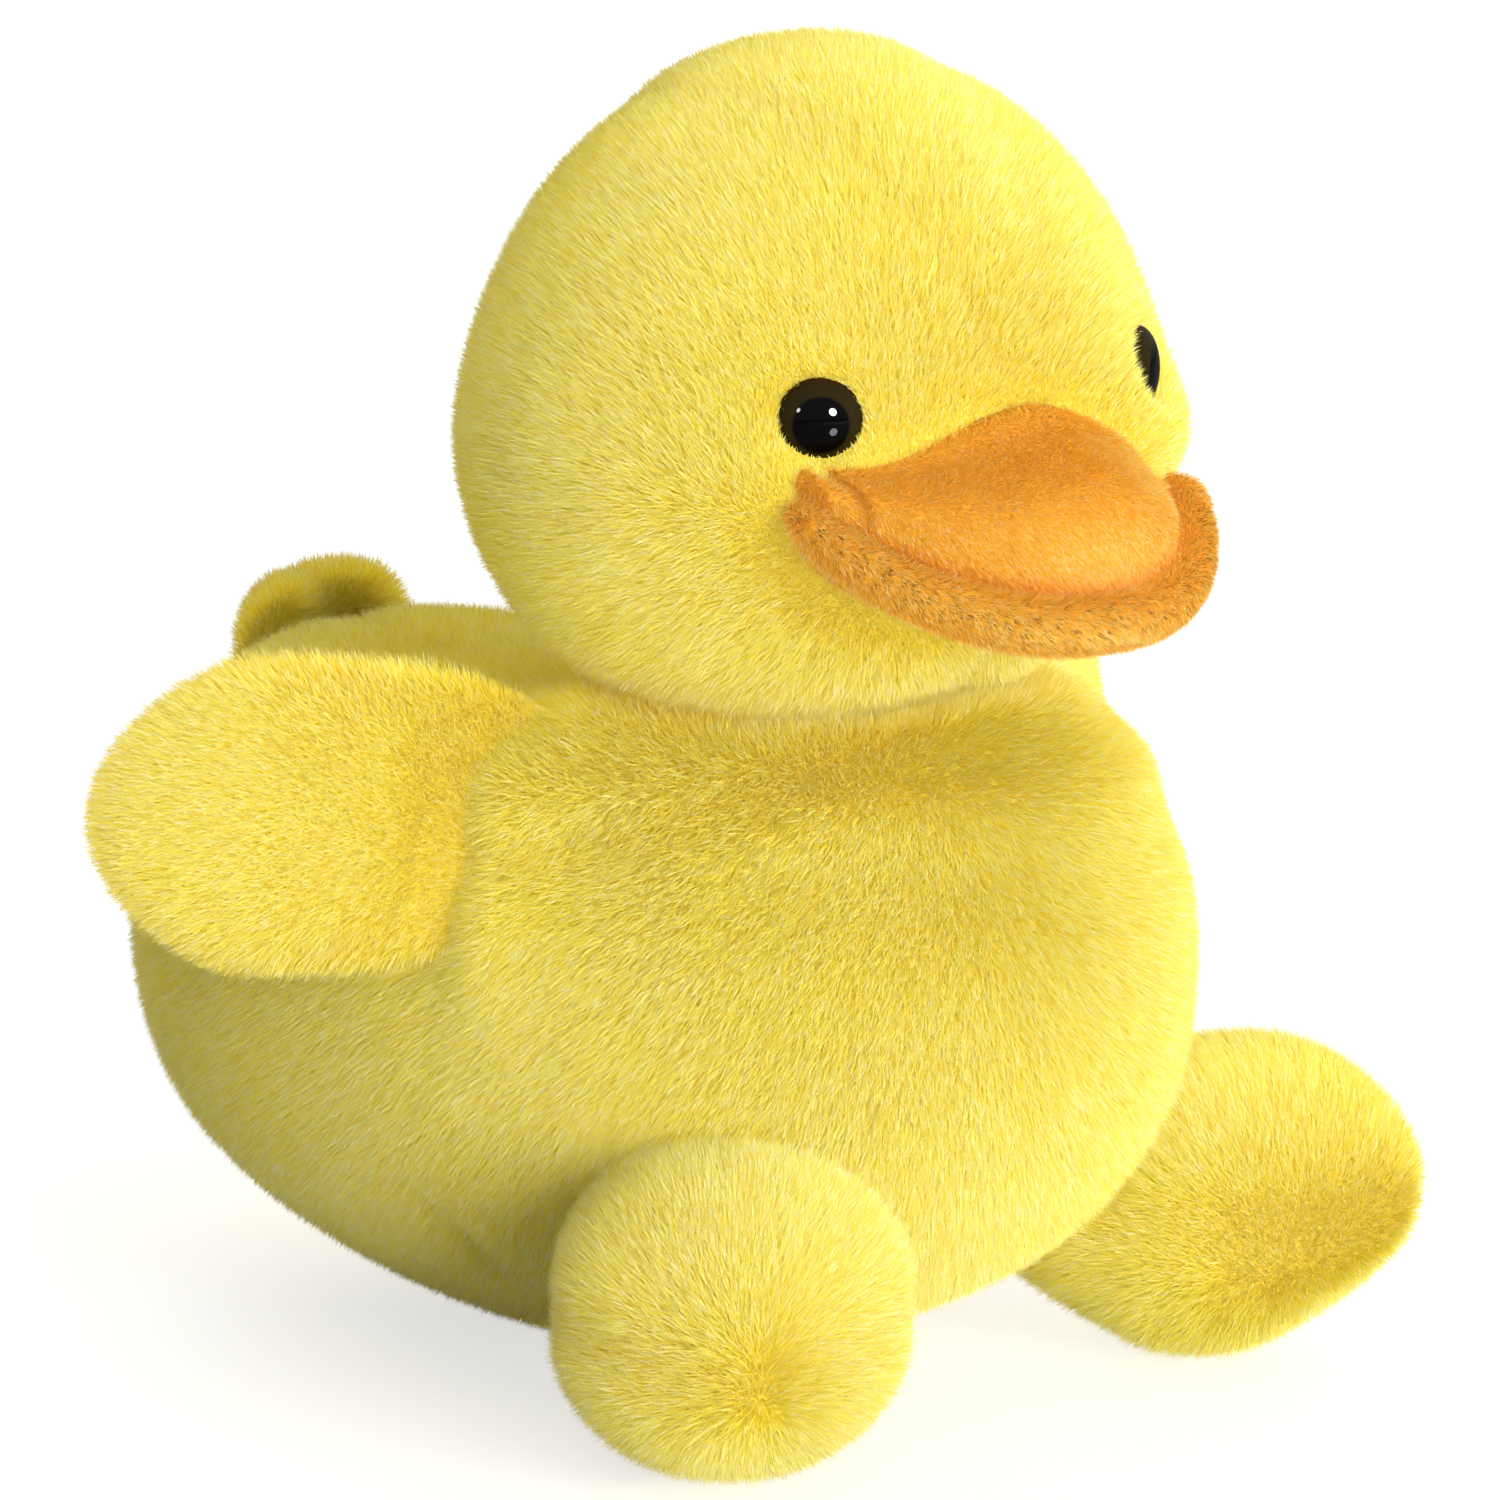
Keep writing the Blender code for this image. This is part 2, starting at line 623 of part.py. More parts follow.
def inset_outline(outline, inset):
    """Move each point of a closed outline in a plane across X inwards by inset."""
    moved = []
    for index, point in enumerate(outline):
        before = (point - outline[index - 1]).normalized()
        after = (outline[(index + 1) % len(outline)] - point).normalized()
        middle = (before + after).normalized()
        inward = Vector((0, -middle.z, middle.y))
        share = max(middle.dot(after), BILL_MITRE_SMALLEST_SHARE)
        moved.append(point + inward * inset / share)
    return moved


def closed_loft(outlines):
    """A closed body through equal outlines, with its two ends filled."""
    body = bmesh.new()
    rings = [[body.verts.new(point) for point in outline] for outline in outlines]
    for ring, following in zip(rings, rings[1:]):
        for index in range(len(ring)):
            step = (index + 1) % len(ring)
            body.faces.new((ring[index], ring[step], following[step], following[index]))
    body.faces.new(rings[0])
    body.faces.new(rings[-1])
    bmesh.ops.triangulate(body, faces=body.faces)
    bmesh.ops.recalc_face_normals(body, faces=body.faces)
    return body


def lofted_sheet(lines):
    """An open sheet of quads through equal lines of points."""
    sheet = bmesh.new()
    rows = [[sheet.verts.new(point) for point in line] for line in lines]
    for row, following in zip(rows, rows[1:]):
        for index in range(len(row) - 1):
            sheet.faces.new((row[index], row[index + 1], following[index + 1], following[index]))
    return sheet


def thick_sheet(piece, wall):
    """Give an open sheet its cloth's thickness, inwards."""
    solidify = piece.modifiers.new("cloth", "SOLIDIFY")
    solidify.thickness = wall
    solidify.offset = -1


def build_bill(duck, head_surface, head_clear):
    """The domed upper panel, the lower panel stitched under its lip, and the filling."""
    sections = list(bill_sections(head_surface))
    upper = lofted_sheet([upper_line(a, b, c, e) for a, b, c, d, e in sections])
    lower = lofted_sheet([lower_line(b, c, d) for a, b, c, d, e in sections])
    for name, sheet in (("bill_upper_panel", upper), ("bill_lower_panel", lower)):
        panel = duck.piece(name, sheet, "bill", "head_turn")
        thick_sheet(panel, BILL_FABRIC)
        cut(panel, head_clear)
    filled = sections[BILL_UNFILLED_SECTIONS:-BILL_UNFILLED_SECTIONS]
    outlines = [filling_outline(a, b, c, d, e) for a, b, c, d, e in filled]
    stuffing = duck.piece("bill_stuffing", closed_loft(outlines), "filling", "head_turn")
    cut(stuffing, head_clear)


def wing_placement(side, body_surface):
    """A wing's frame, with its rounded root edge just clear of the body's side."""
    origin = Vector((0, -WING_ROOT_FORWARD, WING_ROOT_HEIGHT))
    place, facing = surface_hit(body_surface, origin, Vector((side, 0, 0)))
    hinge = place + facing * (WING_NOSE + GAP)
    along = Vector((
        side * math.sin(WING_SPREAD) * math.cos(WING_LIFT),
        math.cos(WING_SPREAD) * math.cos(WING_LIFT),
        math.sin(WING_LIFT),
    ))
    level = Vector((side * math.cos(WING_SPREAD), -math.sin(WING_SPREAD), 0))
    outer = level * math.cos(WING_TILT) + Vector((0, 0, math.sin(WING_TILT)))
    return hinge, frame_at(hinge - along * WING_NOSE, along, outer)


def foot_placement(side):
    """A foot's frame, from its root inside the body out through the toes."""
    root = Vector((side * FOOT_ROOT_APART, -FOOT_ROOT_FORWARD, FOOT_ROOT_HEIGHT))
    along = Vector((
        side * math.sin(FOOT_TURNOUT) * math.cos(FOOT_DIP),
        -math.cos(FOOT_TURNOUT) * math.cos(FOOT_DIP),
        -math.sin(FOOT_DIP),
    ))
    return frame_at(root, along, Vector((0, 0, 1)))


def tail_placement(body_surface):
    """The tail's frame, with its rounded root edge just clear of the back."""
    heart = Vector((0, 0, TAIL_HEART_HEIGHT))
    way = Vector((0, math.cos(TAIL_ROOT_RISE), math.sin(TAIL_ROOT_RISE)))
    place, facing = surface_hit(body_surface, heart, way)
    hinge = place + facing * (TAIL_NOSE + GAP)
    along = Vector((0, math.sin(TAIL_LEAN), math.cos(TAIL_LEAN)))
    return hinge, frame_at(hinge - along * TAIL_NOSE, along, Vector((0, 1, 0)))


def limb(duck, form, place, joint, panels, stuffing_name, body_clear=None):
    """Two sewn halves and a filling; the first panel is the half towards the form's back.

    A limb that starts inside the body is cut clear of it, and its sole is cut flat.
    """
    for name, way in zip(panels, (1, -1)):
        inward = Vector((0, way, 0))
        mesh = placed(keep(skin(form), inward * GAP / 2, inward), place)
        if body_clear and way < 0:
            keep(mesh, Vector((0, 0, 0)), Vector((0, 0, 1)))
        piece = duck.piece(name, mesh, "plush", joint)
        if body_clear:
            cut(piece, body_clear)
    stuffing = duck.piece(stuffing_name, placed(filling(form), place), "filling", joint)
    if body_clear:
        cut(stuffing, body_clear)


def build_limbs(duck, body_surface, body_clear):
    """Wings, feet and tail on their joints."""
    for side_name, side in (("left", 1), ("right", -1)):
        hinge, place = wing_placement(side, body_surface)
        joint = "wing_" + side_name + "_flap"
        duck.joint(joint, hinge)
        stem = "wing_" + side_name
        names = (stem + "_outer_panel", stem + "_inner_panel")
        limb(duck, WING, place, joint, names, stem + "_stuffing")

        place = foot_placement(side)
        start = Vector((0, 0, FOOT_HINGE_HEIGHT))
        flat = place.to_3x3() @ Vector((0, 0, 1))
        flat.z = 0
        crease, _ = surface_hit(body_surface, start, flat.normalized())
        joint = "foot_" + side_name + "_lift"
        duck.joint(joint, crease)
        stem = "foot_" + side_name
        names = (stem + "_upper_panel", stem + "_sole_panel")
        limb(duck, FOOT, place, joint, names, stem + "_stuffing", body_clear)

    hinge, place = tail_placement(body_surface)
    duck.joint("tail_flop", hinge)
    limb(duck, TAIL, place, "tail_flop", ("tail_back_panel", "tail_front_panel"), "tail_stuffing")


def main():
    """Clear the scene and build the whole duck."""
    for leftover in list(bpy.data.objects):
        bpy.data.objects.remove(leftover)
    duck = Duck()
    body_place = Matrix.Translation((0, 0, -REST_FLAT))
    head_place = Matrix.Translation((0, -HEAD_FORWARD, HEAD_BASE))
    duck.joint("head_turn", Vector((0, -HEAD_FORWARD, HEAD_BASE)))
    body_surface = BVHTree.FromBMesh(placed(swelled(BODY), body_place))
    head_surface = BVHTree.FromBMesh(placed(swelled(HEAD), head_place))
    body_clear = duck.cutter("body_clear", placed(swelled(BODY, -GAP), body_place))
    head_clear = duck.cutter("head_clear", placed(swelled(HEAD, -GAP), head_place))
    head_seat = duck.cutter(
        "head_seat", placed(swelled(HEAD, -SEAT_GAP, segments=SEAT_SEGMENTS), head_place)
    )
    eye_places = {
        name: eye_placement(side, head_surface) for name, side in (("left", 1), ("right", -1))
    }
    eye_cutters = {
        name: eye_cutter(duck, "eye_seat_" + name, place) for name, place in eye_places.items()
    }
    build_body(duck, body_place, head_seat)
    build_head(duck, head_place, eye_cutters)
    build_eyes(duck, eye_places)
    build_bill(duck, head_surface, head_clear)
    build_limbs(duck, body_surface, body_clear)


main()
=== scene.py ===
import itertools
import math

import bmesh
import bpy
import numpy as np
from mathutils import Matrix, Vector, noise
from mathutils.bvhtree import BVHTree


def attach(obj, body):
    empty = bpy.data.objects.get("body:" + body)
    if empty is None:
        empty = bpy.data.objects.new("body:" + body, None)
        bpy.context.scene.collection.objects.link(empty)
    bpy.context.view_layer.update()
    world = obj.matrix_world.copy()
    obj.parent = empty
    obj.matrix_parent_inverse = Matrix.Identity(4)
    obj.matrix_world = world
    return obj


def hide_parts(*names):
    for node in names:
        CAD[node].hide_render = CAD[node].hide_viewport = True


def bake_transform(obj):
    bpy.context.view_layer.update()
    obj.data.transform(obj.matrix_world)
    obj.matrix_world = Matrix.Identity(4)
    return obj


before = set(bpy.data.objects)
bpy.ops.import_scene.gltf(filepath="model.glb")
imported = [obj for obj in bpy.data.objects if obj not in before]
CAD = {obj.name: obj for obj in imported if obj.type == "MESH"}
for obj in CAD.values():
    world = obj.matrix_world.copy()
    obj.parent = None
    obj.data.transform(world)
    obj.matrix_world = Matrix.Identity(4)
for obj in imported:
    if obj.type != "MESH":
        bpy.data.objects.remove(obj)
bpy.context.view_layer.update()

MM = 0.001
HEAD_PANELS = ["head_side_left", "head_side_right", "head_gusset"]
BODY_PANELS = ["belly_panel", "back_panel_left", "back_panel_right"]
BILL_NODES = ["bill_upper_panel", "bill_lower_panel", "bill_stuffing"]
SIDES = {"left": 1, "right": -1}

# Photograph: where it was taken from, and what it was framed on
VIEW_AZIMUTH = -42.0
VIEW_ELEVATION = 12.5
VIEW_DISTANCE = 1.6
VIEW_TARGET = (0.0, -0.018, 0.086)
VIEW_LENS = 272.6
SENSOR = 36.0

# The plush pile: its length, how far it leans, how wide a strand is at its root, and how thickly it grows
PILE_LENGTH = 2.9 * MM
PILE_LEAN = 36.0
STRAND_WIDTH = 0.24 * MM
STRANDS_PER_METRE = 14.5e6
STRAND_LENGTH_SPREAD = 0.3
STRAND_DIRECTION_SPREAD = 0.42
FLOOR_CLEARANCE = 0.2 * MM
PANEL_SEEDS = itertools.count(101)

# How far the head's skin lies inside its panels, to leave room for the pile
UNDER_PILE = 1.9 * MM

# The cloth pass that blows a skin up
CLOTH_STEPS = 20
CLOTH_PRESSURE = 4.0
CLOTH_QUALITY = 5

# The gathering along a seam: how wide it is and how deep it is drawn in
SEAM_WIDTH = 1.4e-3
SEAM_DEPTH = 0.35e-3

# How strongly shade is painted into the pile's colour where two pieces meet, and how far from there
PAINTED_CREASE_SHADE_REACH = 4.0e-3
PAINTED_CREASE_SHADE_STRENGTH = {"head": 0.15, "body": 0.5}
PAINTED_CREASE_SHADE_ON_LIMBS = 0.08

# The short pile of the bill
BILL_PILE_LENGTH = 1.25 * MM
BILL_STRAND_WIDTH = 0.17 * MM
BILL_STRANDS_PER_METRE = 24e6

# The bill, as its panels are cut: the sweep from corner to corner, and the places of its lines
BILL_SPREAD = math.radians(70.0)
BILL_HALF_WIDTH = 34.5 * MM
BILL_CORNER_SHARE = 0.22
BILL_CORNER = 136.5 * MM
BILL_PEAK = 145.0 * MM
BILL_FRONT = 118.0 * MM
BILL_REACH = -87.0 * MM
BILL_UNDER = 5.0 * MM
BILL_DOME = 9.5 * MM
BILL_LIP = 6.6 * MM

# The bill's rows: how many there are, the steps over the dome and round the lip, and where in a row they stand
BILL_ROWS = 201
DOME_STEPS = 29
LIP_STEPS = 22
GROOVE_PLACE = 28
RIDGE_PLACE = 37
LIP_END = 51
HIDDEN_FROM = 53

# The upright line through the head and its seat on the body, and how wide the seat is
NECK_Y = -0.0325
SEAT_RADIUS = 0.022

# Where the skins' forms go beyond the solids
SHOULDER_HEIGHT = 0.082
NECK_RISE = 4.0e-3
SHOULDER_BUMP = 3.4e-3
CHEST_FULLER = 2.6e-3
CHEST_TRIMMER = 1.6e-3
WING_BED_RISE = 4.2e-3
FLANK_FULLER = 0.8e-3
HIP_DART = 1.3e-3
EYE_RIM = 0.9e-3
CHIN_FULLER = 2.4e-3
CHEEK_SWELL = 3.2e-3
TEMPLE_TRIM = 1.1e-3
CROWN_FULLER = 1.8e-3
UNDERSIDE_RISE = 1.8e-3
TOE_FILL = 2.6e-3

# Each wing: how far its tip curls out, and how far it stands in towards the body
WING_FORMS = {"left": (0.0, 2.8e-3), "right": (3.5e-3, 0.0)}

# Each foot: how much its toe rises, how much it points aside, and how much its top leans out
FOOT_FORMS = {"left": (0.13, -0.01, 0.16), "right": (0.045, -0.1, 0.0)}


# ---------------------------------------------------------------- node making

class Socket:
    """One socket of a node tree, so that maths on it is written as plain expressions."""

    def __init__(self, recipe, source):
        self.recipe = recipe
        self.source = source

    def _maths(self, operation, *values):
        return self.recipe.make(self.recipe.maths, {"operation": operation}, dict(enumerate(values)))[0]

    def __add__(self, other):
        return self._maths("ADD", self, other)

    def __sub__(self, other):
        return self._maths("SUBTRACT", self, other)

    def __rsub__(self, other):
        return self._maths("SUBTRACT", other, self)

    def __mul__(self, other):
        return self._maths("MULTIPLY", self, other)

    __radd__ = __add__
    __rmul__ = __mul__

    def smooth(self, low, high):
        """0 below low, 1 above high, and a soft step between them."""
        kind = "ShaderNodeMapRange"
        settings = {"interpolation_type": "SMOOTHSTEP"}
        return self.recipe.make(kind, settings, {0: self, 1: low, 2: high})[0]


class Made:
    """A node that was made, whose outputs are taken by number or name."""

    def __init__(self, recipe, node):
        self.recipe = recipe
        self.node = node

    def __getitem__(self, key):
        return Socket(self.recipe, self.node.outputs[key])


class Recipe:
    """A node tree being written."""

    maths = "ShaderNodeMath"

    def __init__(self, tree):
        self.tree = tree

    def make(self, kind, settings=None, inputs=None):
        """One node of that kind: its settings first, then a value or a link in each named socket."""
        node = self.tree.nodes.new(kind)
        for name, value in (settings or {}).items():
            setattr(node, name, value)
        for key, value in (inputs or {}).items():
            if isinstance(value, Socket):
                self.tree.links.new(value.source, node.inputs[key])
            else:
                node.inputs[key].default_value = value
        return Made(self, node)

    def mix(self, share, first, second):
        """A colour between first and second."""
        made = self.make("ShaderNodeMix", {"data_type": "RGBA"}, {0: share, 6: first, 7: second})
        return made[2]

    def noise(self, where, scale, detail=2.0, roughness=0.5):
        return self.make(
            "ShaderNodeTexNoise", {}, {"Vector": where, "Scale": scale, "Detail": detail, "Roughness": roughness}
        )[0]

    def attribute(self, name):
        return self.make("ShaderNodeAttribute", {"attribute_name": name})


def new_material(name):
    """A material with an empty tree and its output, ready for a surface."""
    material = bpy.data.materials.new(name)
    material.use_nodes = True
    material.node_tree.nodes.clear()
    recipe = Recipe(material.node_tree)
    return material, recipe


def colour(red, green, blue):
    """A colour given in 0 to 255 as it is seen, in the linear numbers that a shader takes."""
    def linear(part):
        share = part / 255
        return share / 12.92 if share <= 0.04045 else ((share + 0.055) / 1.055) ** 2.4
    return (linear(red), linear(green), linear(blue), 1.0)


def surface(recipe, inputs):
    """A Principled surface joined to the material's output."""
    shader = recipe.make("ShaderNodeBsdfPrincipled", {}, inputs)
    recipe.make("ShaderNodeOutputMaterial", {}, {"Surface": shader["BSDF"]})


def dimmed(shade, *shares):
    """A shade with each of its three parts brought down."""
    return tuple(part * share for part, share in zip(shade[:3], shares)) + (1.0,)


def pile_material(name, root, middle, tip, patch, deep, fleck=0.0):
    """Plush strands: deep at the root, paler to the tip, each strand with its own tone, cloudy over the cloth,
    with shade painted in the deep colour where the skin's crease mask says. Some strands carry a painted glint,
    a pale highlight toward the tip, and where the skin's flecked mask says some are dark flecks and some are pale
    painted highlights."""
    material, recipe = new_material(name)
    along = recipe.attribute("along")["Fac"]
    tone = recipe.attribute("tone")["Fac"]
    painted_crease_shade = recipe.attribute("painted_crease_shade")["Fac"]
    painted_glint = tuple(0.35 * part + 0.65 for part in tip[:3]) + (1.0,)
    dim = dimmed(root, 0.8, 0.7, 0.6)
    dark_fleck = colour(150, 84, 18)
    where = recipe.make("ShaderNodeTexCoord")["Object"]
    cloud = recipe.noise(where, 34.0, 3.0).smooth(0.45, 0.7)
    tuft = recipe.noise(where, 330.0, 2.0).smooth(0.42, 0.7)
    base = recipe.mix(along.smooth(0.0, 0.5), root, middle)
    base = recipe.mix((along * 0.9 - 0.5 + tone * 0.75).smooth(0.0, 1.0), base, tip)
    base = recipe.mix(cloud * 0.45, base, patch)
    base = recipe.mix((1 - tone.smooth(0.0, 0.35)) * 0.32, base, dim)
    # Painted highlight: a few strands turn pale near their tips
    base = recipe.mix(tone.smooth(0.78, 0.92) * along.smooth(0.35, 0.75) * 0.75, base, painted_glint)
    base = recipe.mix(tuft * (0.22 + fleck), base, root)
    # Painted shade: the crease mask mixes in the deep colour
    base = recipe.mix(painted_crease_shade, base, deep)
    flecks_and_painted_highlights = recipe.attribute("flecks_and_painted_highlights")["Fac"]
    clump = recipe.noise(where, 800.0, 1.0).smooth(0.36, 0.6) * flecks_and_painted_highlights
    # Dark flecks on the bill's lip ridge
    base = recipe.mix(clump * (1 - tone.smooth(0.28, 0.34)) * 0.9, base, dark_fleck)
    # Painted highlights: pale specks on the bill's lip ridge
    base = recipe.mix(clump * tone.smooth(0.55, 0.6) * 0.9, base, tip)
    surface(recipe, {
        "Base Color": base, "Roughness": 0.6, "Specular IOR Level": 0.08,
        "Sheen Weight": 0.2, "Sheen Roughness": 0.16, "Sheen Tint": (0.94, 1.0, 0.86, 1.0),
    })
    return material


def backing_material(name, deep):
    """The knitted backing that shows between the strands."""
    material, recipe = new_material(name)
    where = recipe.make("ShaderNodeTexCoord")["Object"]
    knit = recipe.noise(where, 900.0, 1.0)
    shade = recipe.mix(knit, deep, dimmed(deep, 0.8, 0.8, 0.8))
    bump = recipe.make("ShaderNodeBump", {}, {"Strength": 0.4, "Distance": 0.0004, "Height": knit})[0]
    surface(recipe, {"Base Color": shade, "Roughness": 0.9, "Normal": bump, "Specular IOR Level": 0.1})
    return material


# ---------------------------------------------------------------- mesh making

def mesh_object(name, points, faces):
    mesh = bpy.data.meshes.new(name)
    mesh.from_pydata([tuple(point) for point in points], [], [tuple(face) for face in faces])
    mesh.update()
    made = bpy.data.objects.new(name, mesh)
    bpy.context.scene.collection.objects.link(made)
    return made


def places(mesh):
    found = np.zeros(len(mesh.vertices) * 3, np.float32)
    mesh.vertices.foreach_get("co", found)
    return found.reshape(-1, 3).astype(float)


def put(mesh, points):
    mesh.vertices.foreach_set("co", points.astype(np.float32).ravel())
    mesh.update()


def directions(mesh):
    found = np.zeros(len(mesh.vertices) * 3, np.float32)
    mesh.vertex_normals.foreach_get("vector", found)
    return found.reshape(-1, 3).astype(float)


def number_at(mesh, name, values):
    kept = mesh.attributes.get(name) or mesh.attributes.new(name, "FLOAT", "POINT")
    kept.data.foreach_set("value", np.asarray(values, np.float32))


def vector_at(mesh, name, values):
    kept = mesh.attributes.get(name) or mesh.attributes.new(name, "FLOAT_VECTOR", "POINT")
    kept.data.foreach_set("vector", np.asarray(values, np.float32).ravel())


def triangles_of(mesh):
    mesh.calc_loop_triangles()
    found = np.zeros(len(mesh.loop_triangles) * 3, np.int32)
    mesh.loop_triangles.foreach_get("vertices", found)
    return found.reshape(-1, 3)


def smooth_shaded(mesh):
    mesh.polygons.foreach_set("use_smooth", [True] * len(mesh.polygons))


def faces_outward(mesh):
    work = bmesh.new()
    work.from_mesh(mesh)
    bmesh.ops.recalc_face_normals(work, faces=work.faces)
    work.to_mesh(mesh)
    work.free()


def settle(made):
    """Applies every modifier on a piece."""
    graph = bpy.context.evaluated_depsgraph_get()
    mesh = bpy.data.meshes.new_from_object(made.evaluated_get(graph))
    made.modifiers.clear()
    made.data = mesh
    return mesh


def modify(made, kind, **settings):
    modifier = made.modifiers.new(kind.lower(), kind)
    for name, value in settings.items():
        setattr(modifier, name, value)
    return modifier


def whole_outside(mesh):
    """Keeps the outermost shell of a remeshed mesh."""
    count = len(mesh.vertices)
    edges = np.zeros(len(mesh.edges) * 2, np.int32)
    mesh.edges.foreach_get("vertices", edges)
    edges = edges.reshape(-1, 2)
    label = np.arange(count)
    while True:
        least = np.minimum(label[edges[:, 0]], label[edges[:, 1]])
        fresh = label.copy()
        np.minimum.at(fresh, edges[:, 0], least)
        np.minimum.at(fresh, edges[:, 1], least)
        fresh = fresh[fresh]
        if (fresh == label).all():
            break
        label = fresh
    names, sizes = np.unique(label, return_counts=True)
    keep = label == names[sizes.argmax()]
    if keep.all():
        return mesh
    number = np.cumsum(keep) - 1
    points = places(mesh)[keep]
    faces = [[number[v] for v in face.vertices] for face in mesh.polygons if keep[face.vertices[0]]]
    fresh_mesh = bpy.data.meshes.new(mesh.name)
    fresh_mesh.from_pydata([tuple(p) for p in points], [], faces)
    fresh_mesh.update()
    return fresh_mesh


def gathered(pieces):
    """The points and triangles of several pieces as one. A piece is an object or the name of a CAD node."""
    points, faces, start = [], [], 0
    for piece in pieces:
        mesh = (CAD[piece] if isinstance(piece, str) else piece).data
        points.append(places(mesh))
        faces.append(triangles_of(mesh) + start)
        start += len(mesh.vertices)
    return np.concatenate(points), np.concatenate(faces)


def tree_of(pieces):
    """What finds the nearest point on several pieces."""
    points, faces = gathered(pieces)
    return BVHTree.FromPolygons([Vector(point) for point in points], faces.tolist())


def away_from(pieces, points):
    """How far each point is from several pieces."""
    tree = tree_of(pieces)
    return np.array([tree.find_nearest(Vector(point))[3] for point in points])


def eased(values, low, high):
    """0 below low, 1 above high, and a soft rise between them."""
    share = np.clip((values - low) / (high - low), 0.0, 1.0)
    return share * share * (3 - 2 * share)


def hump(values, middle, width):
    """1 at the middle, falling to 0 on both sides of it."""
    return np.exp(-((values - middle) / width) ** 2)


def near(pieces, points, reach):
    """1 at the pieces, falling to 0 at about twice the reach from them."""
    return hump(away_from(pieces, points), 0, reach)


def neighbours_mean(mesh, values, times):
    """Values evened out between neighbouring vertices."""
    edges = np.zeros(len(mesh.edges) * 2, np.int32)
    mesh.edges.foreach_get("vertices", edges)
    one, two = edges.reshape(-1, 2).T
    count = np.bincount(edges, minlength=len(mesh.vertices))[:, None].astype(float)
    values = np.asarray(values, float)
    flat = values.ndim == 1
    values = values[:, None] if flat else values
    for _ in range(times):
        total = np.zeros_like(values)
        np.add.at(total, one, values[two])
        np.add.at(total, two, values[one])
        values = 0.5 * values + 0.5 * total / count
    return values[:, 0] if flat else values


# ---------------------------------------------------------------- stuffed skins

def seam_closeness(points, panels):
    """How much nearer each point is to its own panel than to the next one, which is 0 on a seam, and which it is on."""
    gaps = np.array([away_from([panel], points) for panel in panels])
    owner = gaps.argmin(0)
    ordered = np.sort(gaps, axis=0)
    return ordered[1] - ordered[0], owner


def evened(mesh, points, times):
    """Points with the facets and steps smoothed out of them, and the form's size kept."""
    for _ in range(times):
        points = points + (neighbours_mean(mesh, points, 1) - points)
        points = points - 1.05 * (neighbours_mean(mesh, points, 1) - points)
    return points


def tucked(points, place, way, inwards, tuck, length):
    """The sewn end of a limb brought into what carries it."""
    way = np.array(way) / np.linalg.norm(way)
    inwards = np.array(inwards) / np.linalg.norm(inwards)
    out = (points - place) @ way
    near_root = 1 - eased(out, out.min(), out.min() + length)
    return points + np.outer(tuck * near_root, inwards)


def stuffed(name, panels, filling, voxel, swell, under, root=None):
    """The sewn skin of a stuffed piece: the panels remeshed as one, pulled in at the seams and blown up between them.
    root says how a limb's sewn end is tucked into what carries it."""
    piece = mesh_object(name, *gathered(panels + filling))
    modify(piece, "REMESH", mode="VOXEL", voxel_size=voxel)
    piece.data = whole_outside(settle(piece))
    mesh = piece.data
    points = evened(mesh, places(mesh), 14)
    if root:
        points = tucked(points, *root)
    put(mesh, points)
    points = points - directions(mesh) * (under + 0.4 * swell)
    apart, _ = seam_closeness(points, panels)
    sewn = 1 - eased(apart, 0.2 * voxel, 2.2 * voxel)
    points = points - directions(mesh) * (sewn * 0.35 * swell)[:, None]
    put(mesh, points)
    blow_up(piece, sewn, points, swell)
    modify(piece, "SUBSURF", levels=1, render_levels=1)
    settle(piece)
    smooth_shaded(piece.data)
    return piece


def blow_up(piece, sewn, points, most):
    """A cloth pass with pressure inside, held at the seams, where no point moves further than most."""
    group = piece.vertex_groups.new(name="sewn")
    for number, share in enumerate(sewn):
        if share > 0.05:
            group.add([number], float(share), "REPLACE")
    cloth = piece.modifiers.new("cloth", "CLOTH")
    cloth.settings.use_pressure = True
    cloth.settings.uniform_pressure_force = CLOTH_PRESSURE
    cloth.settings.quality = CLOTH_QUALITY
    cloth.settings.vertex_group_mass = "sewn"
    cloth.settings.effector_weights.gravity = 0.0
    cloth.point_cache.frame_start = 1
    cloth.point_cache.frame_end = CLOTH_STEPS
    for step in range(1, CLOTH_STEPS + 1):
        bpy.context.scene.frame_set(step)
    mesh = settle(piece)
    bpy.context.scene.frame_set(1)
    moved = places(mesh) - points
    size = np.linalg.norm(moved, axis=1, keepdims=True)
    moved *= np.minimum(1.0, most / np.maximum(size, 1e-9))
    put(mesh, points + neighbours_mean(mesh, moved, 2))
    piece.vertex_groups.clear()


# ---------------------------------------------------------------- pile

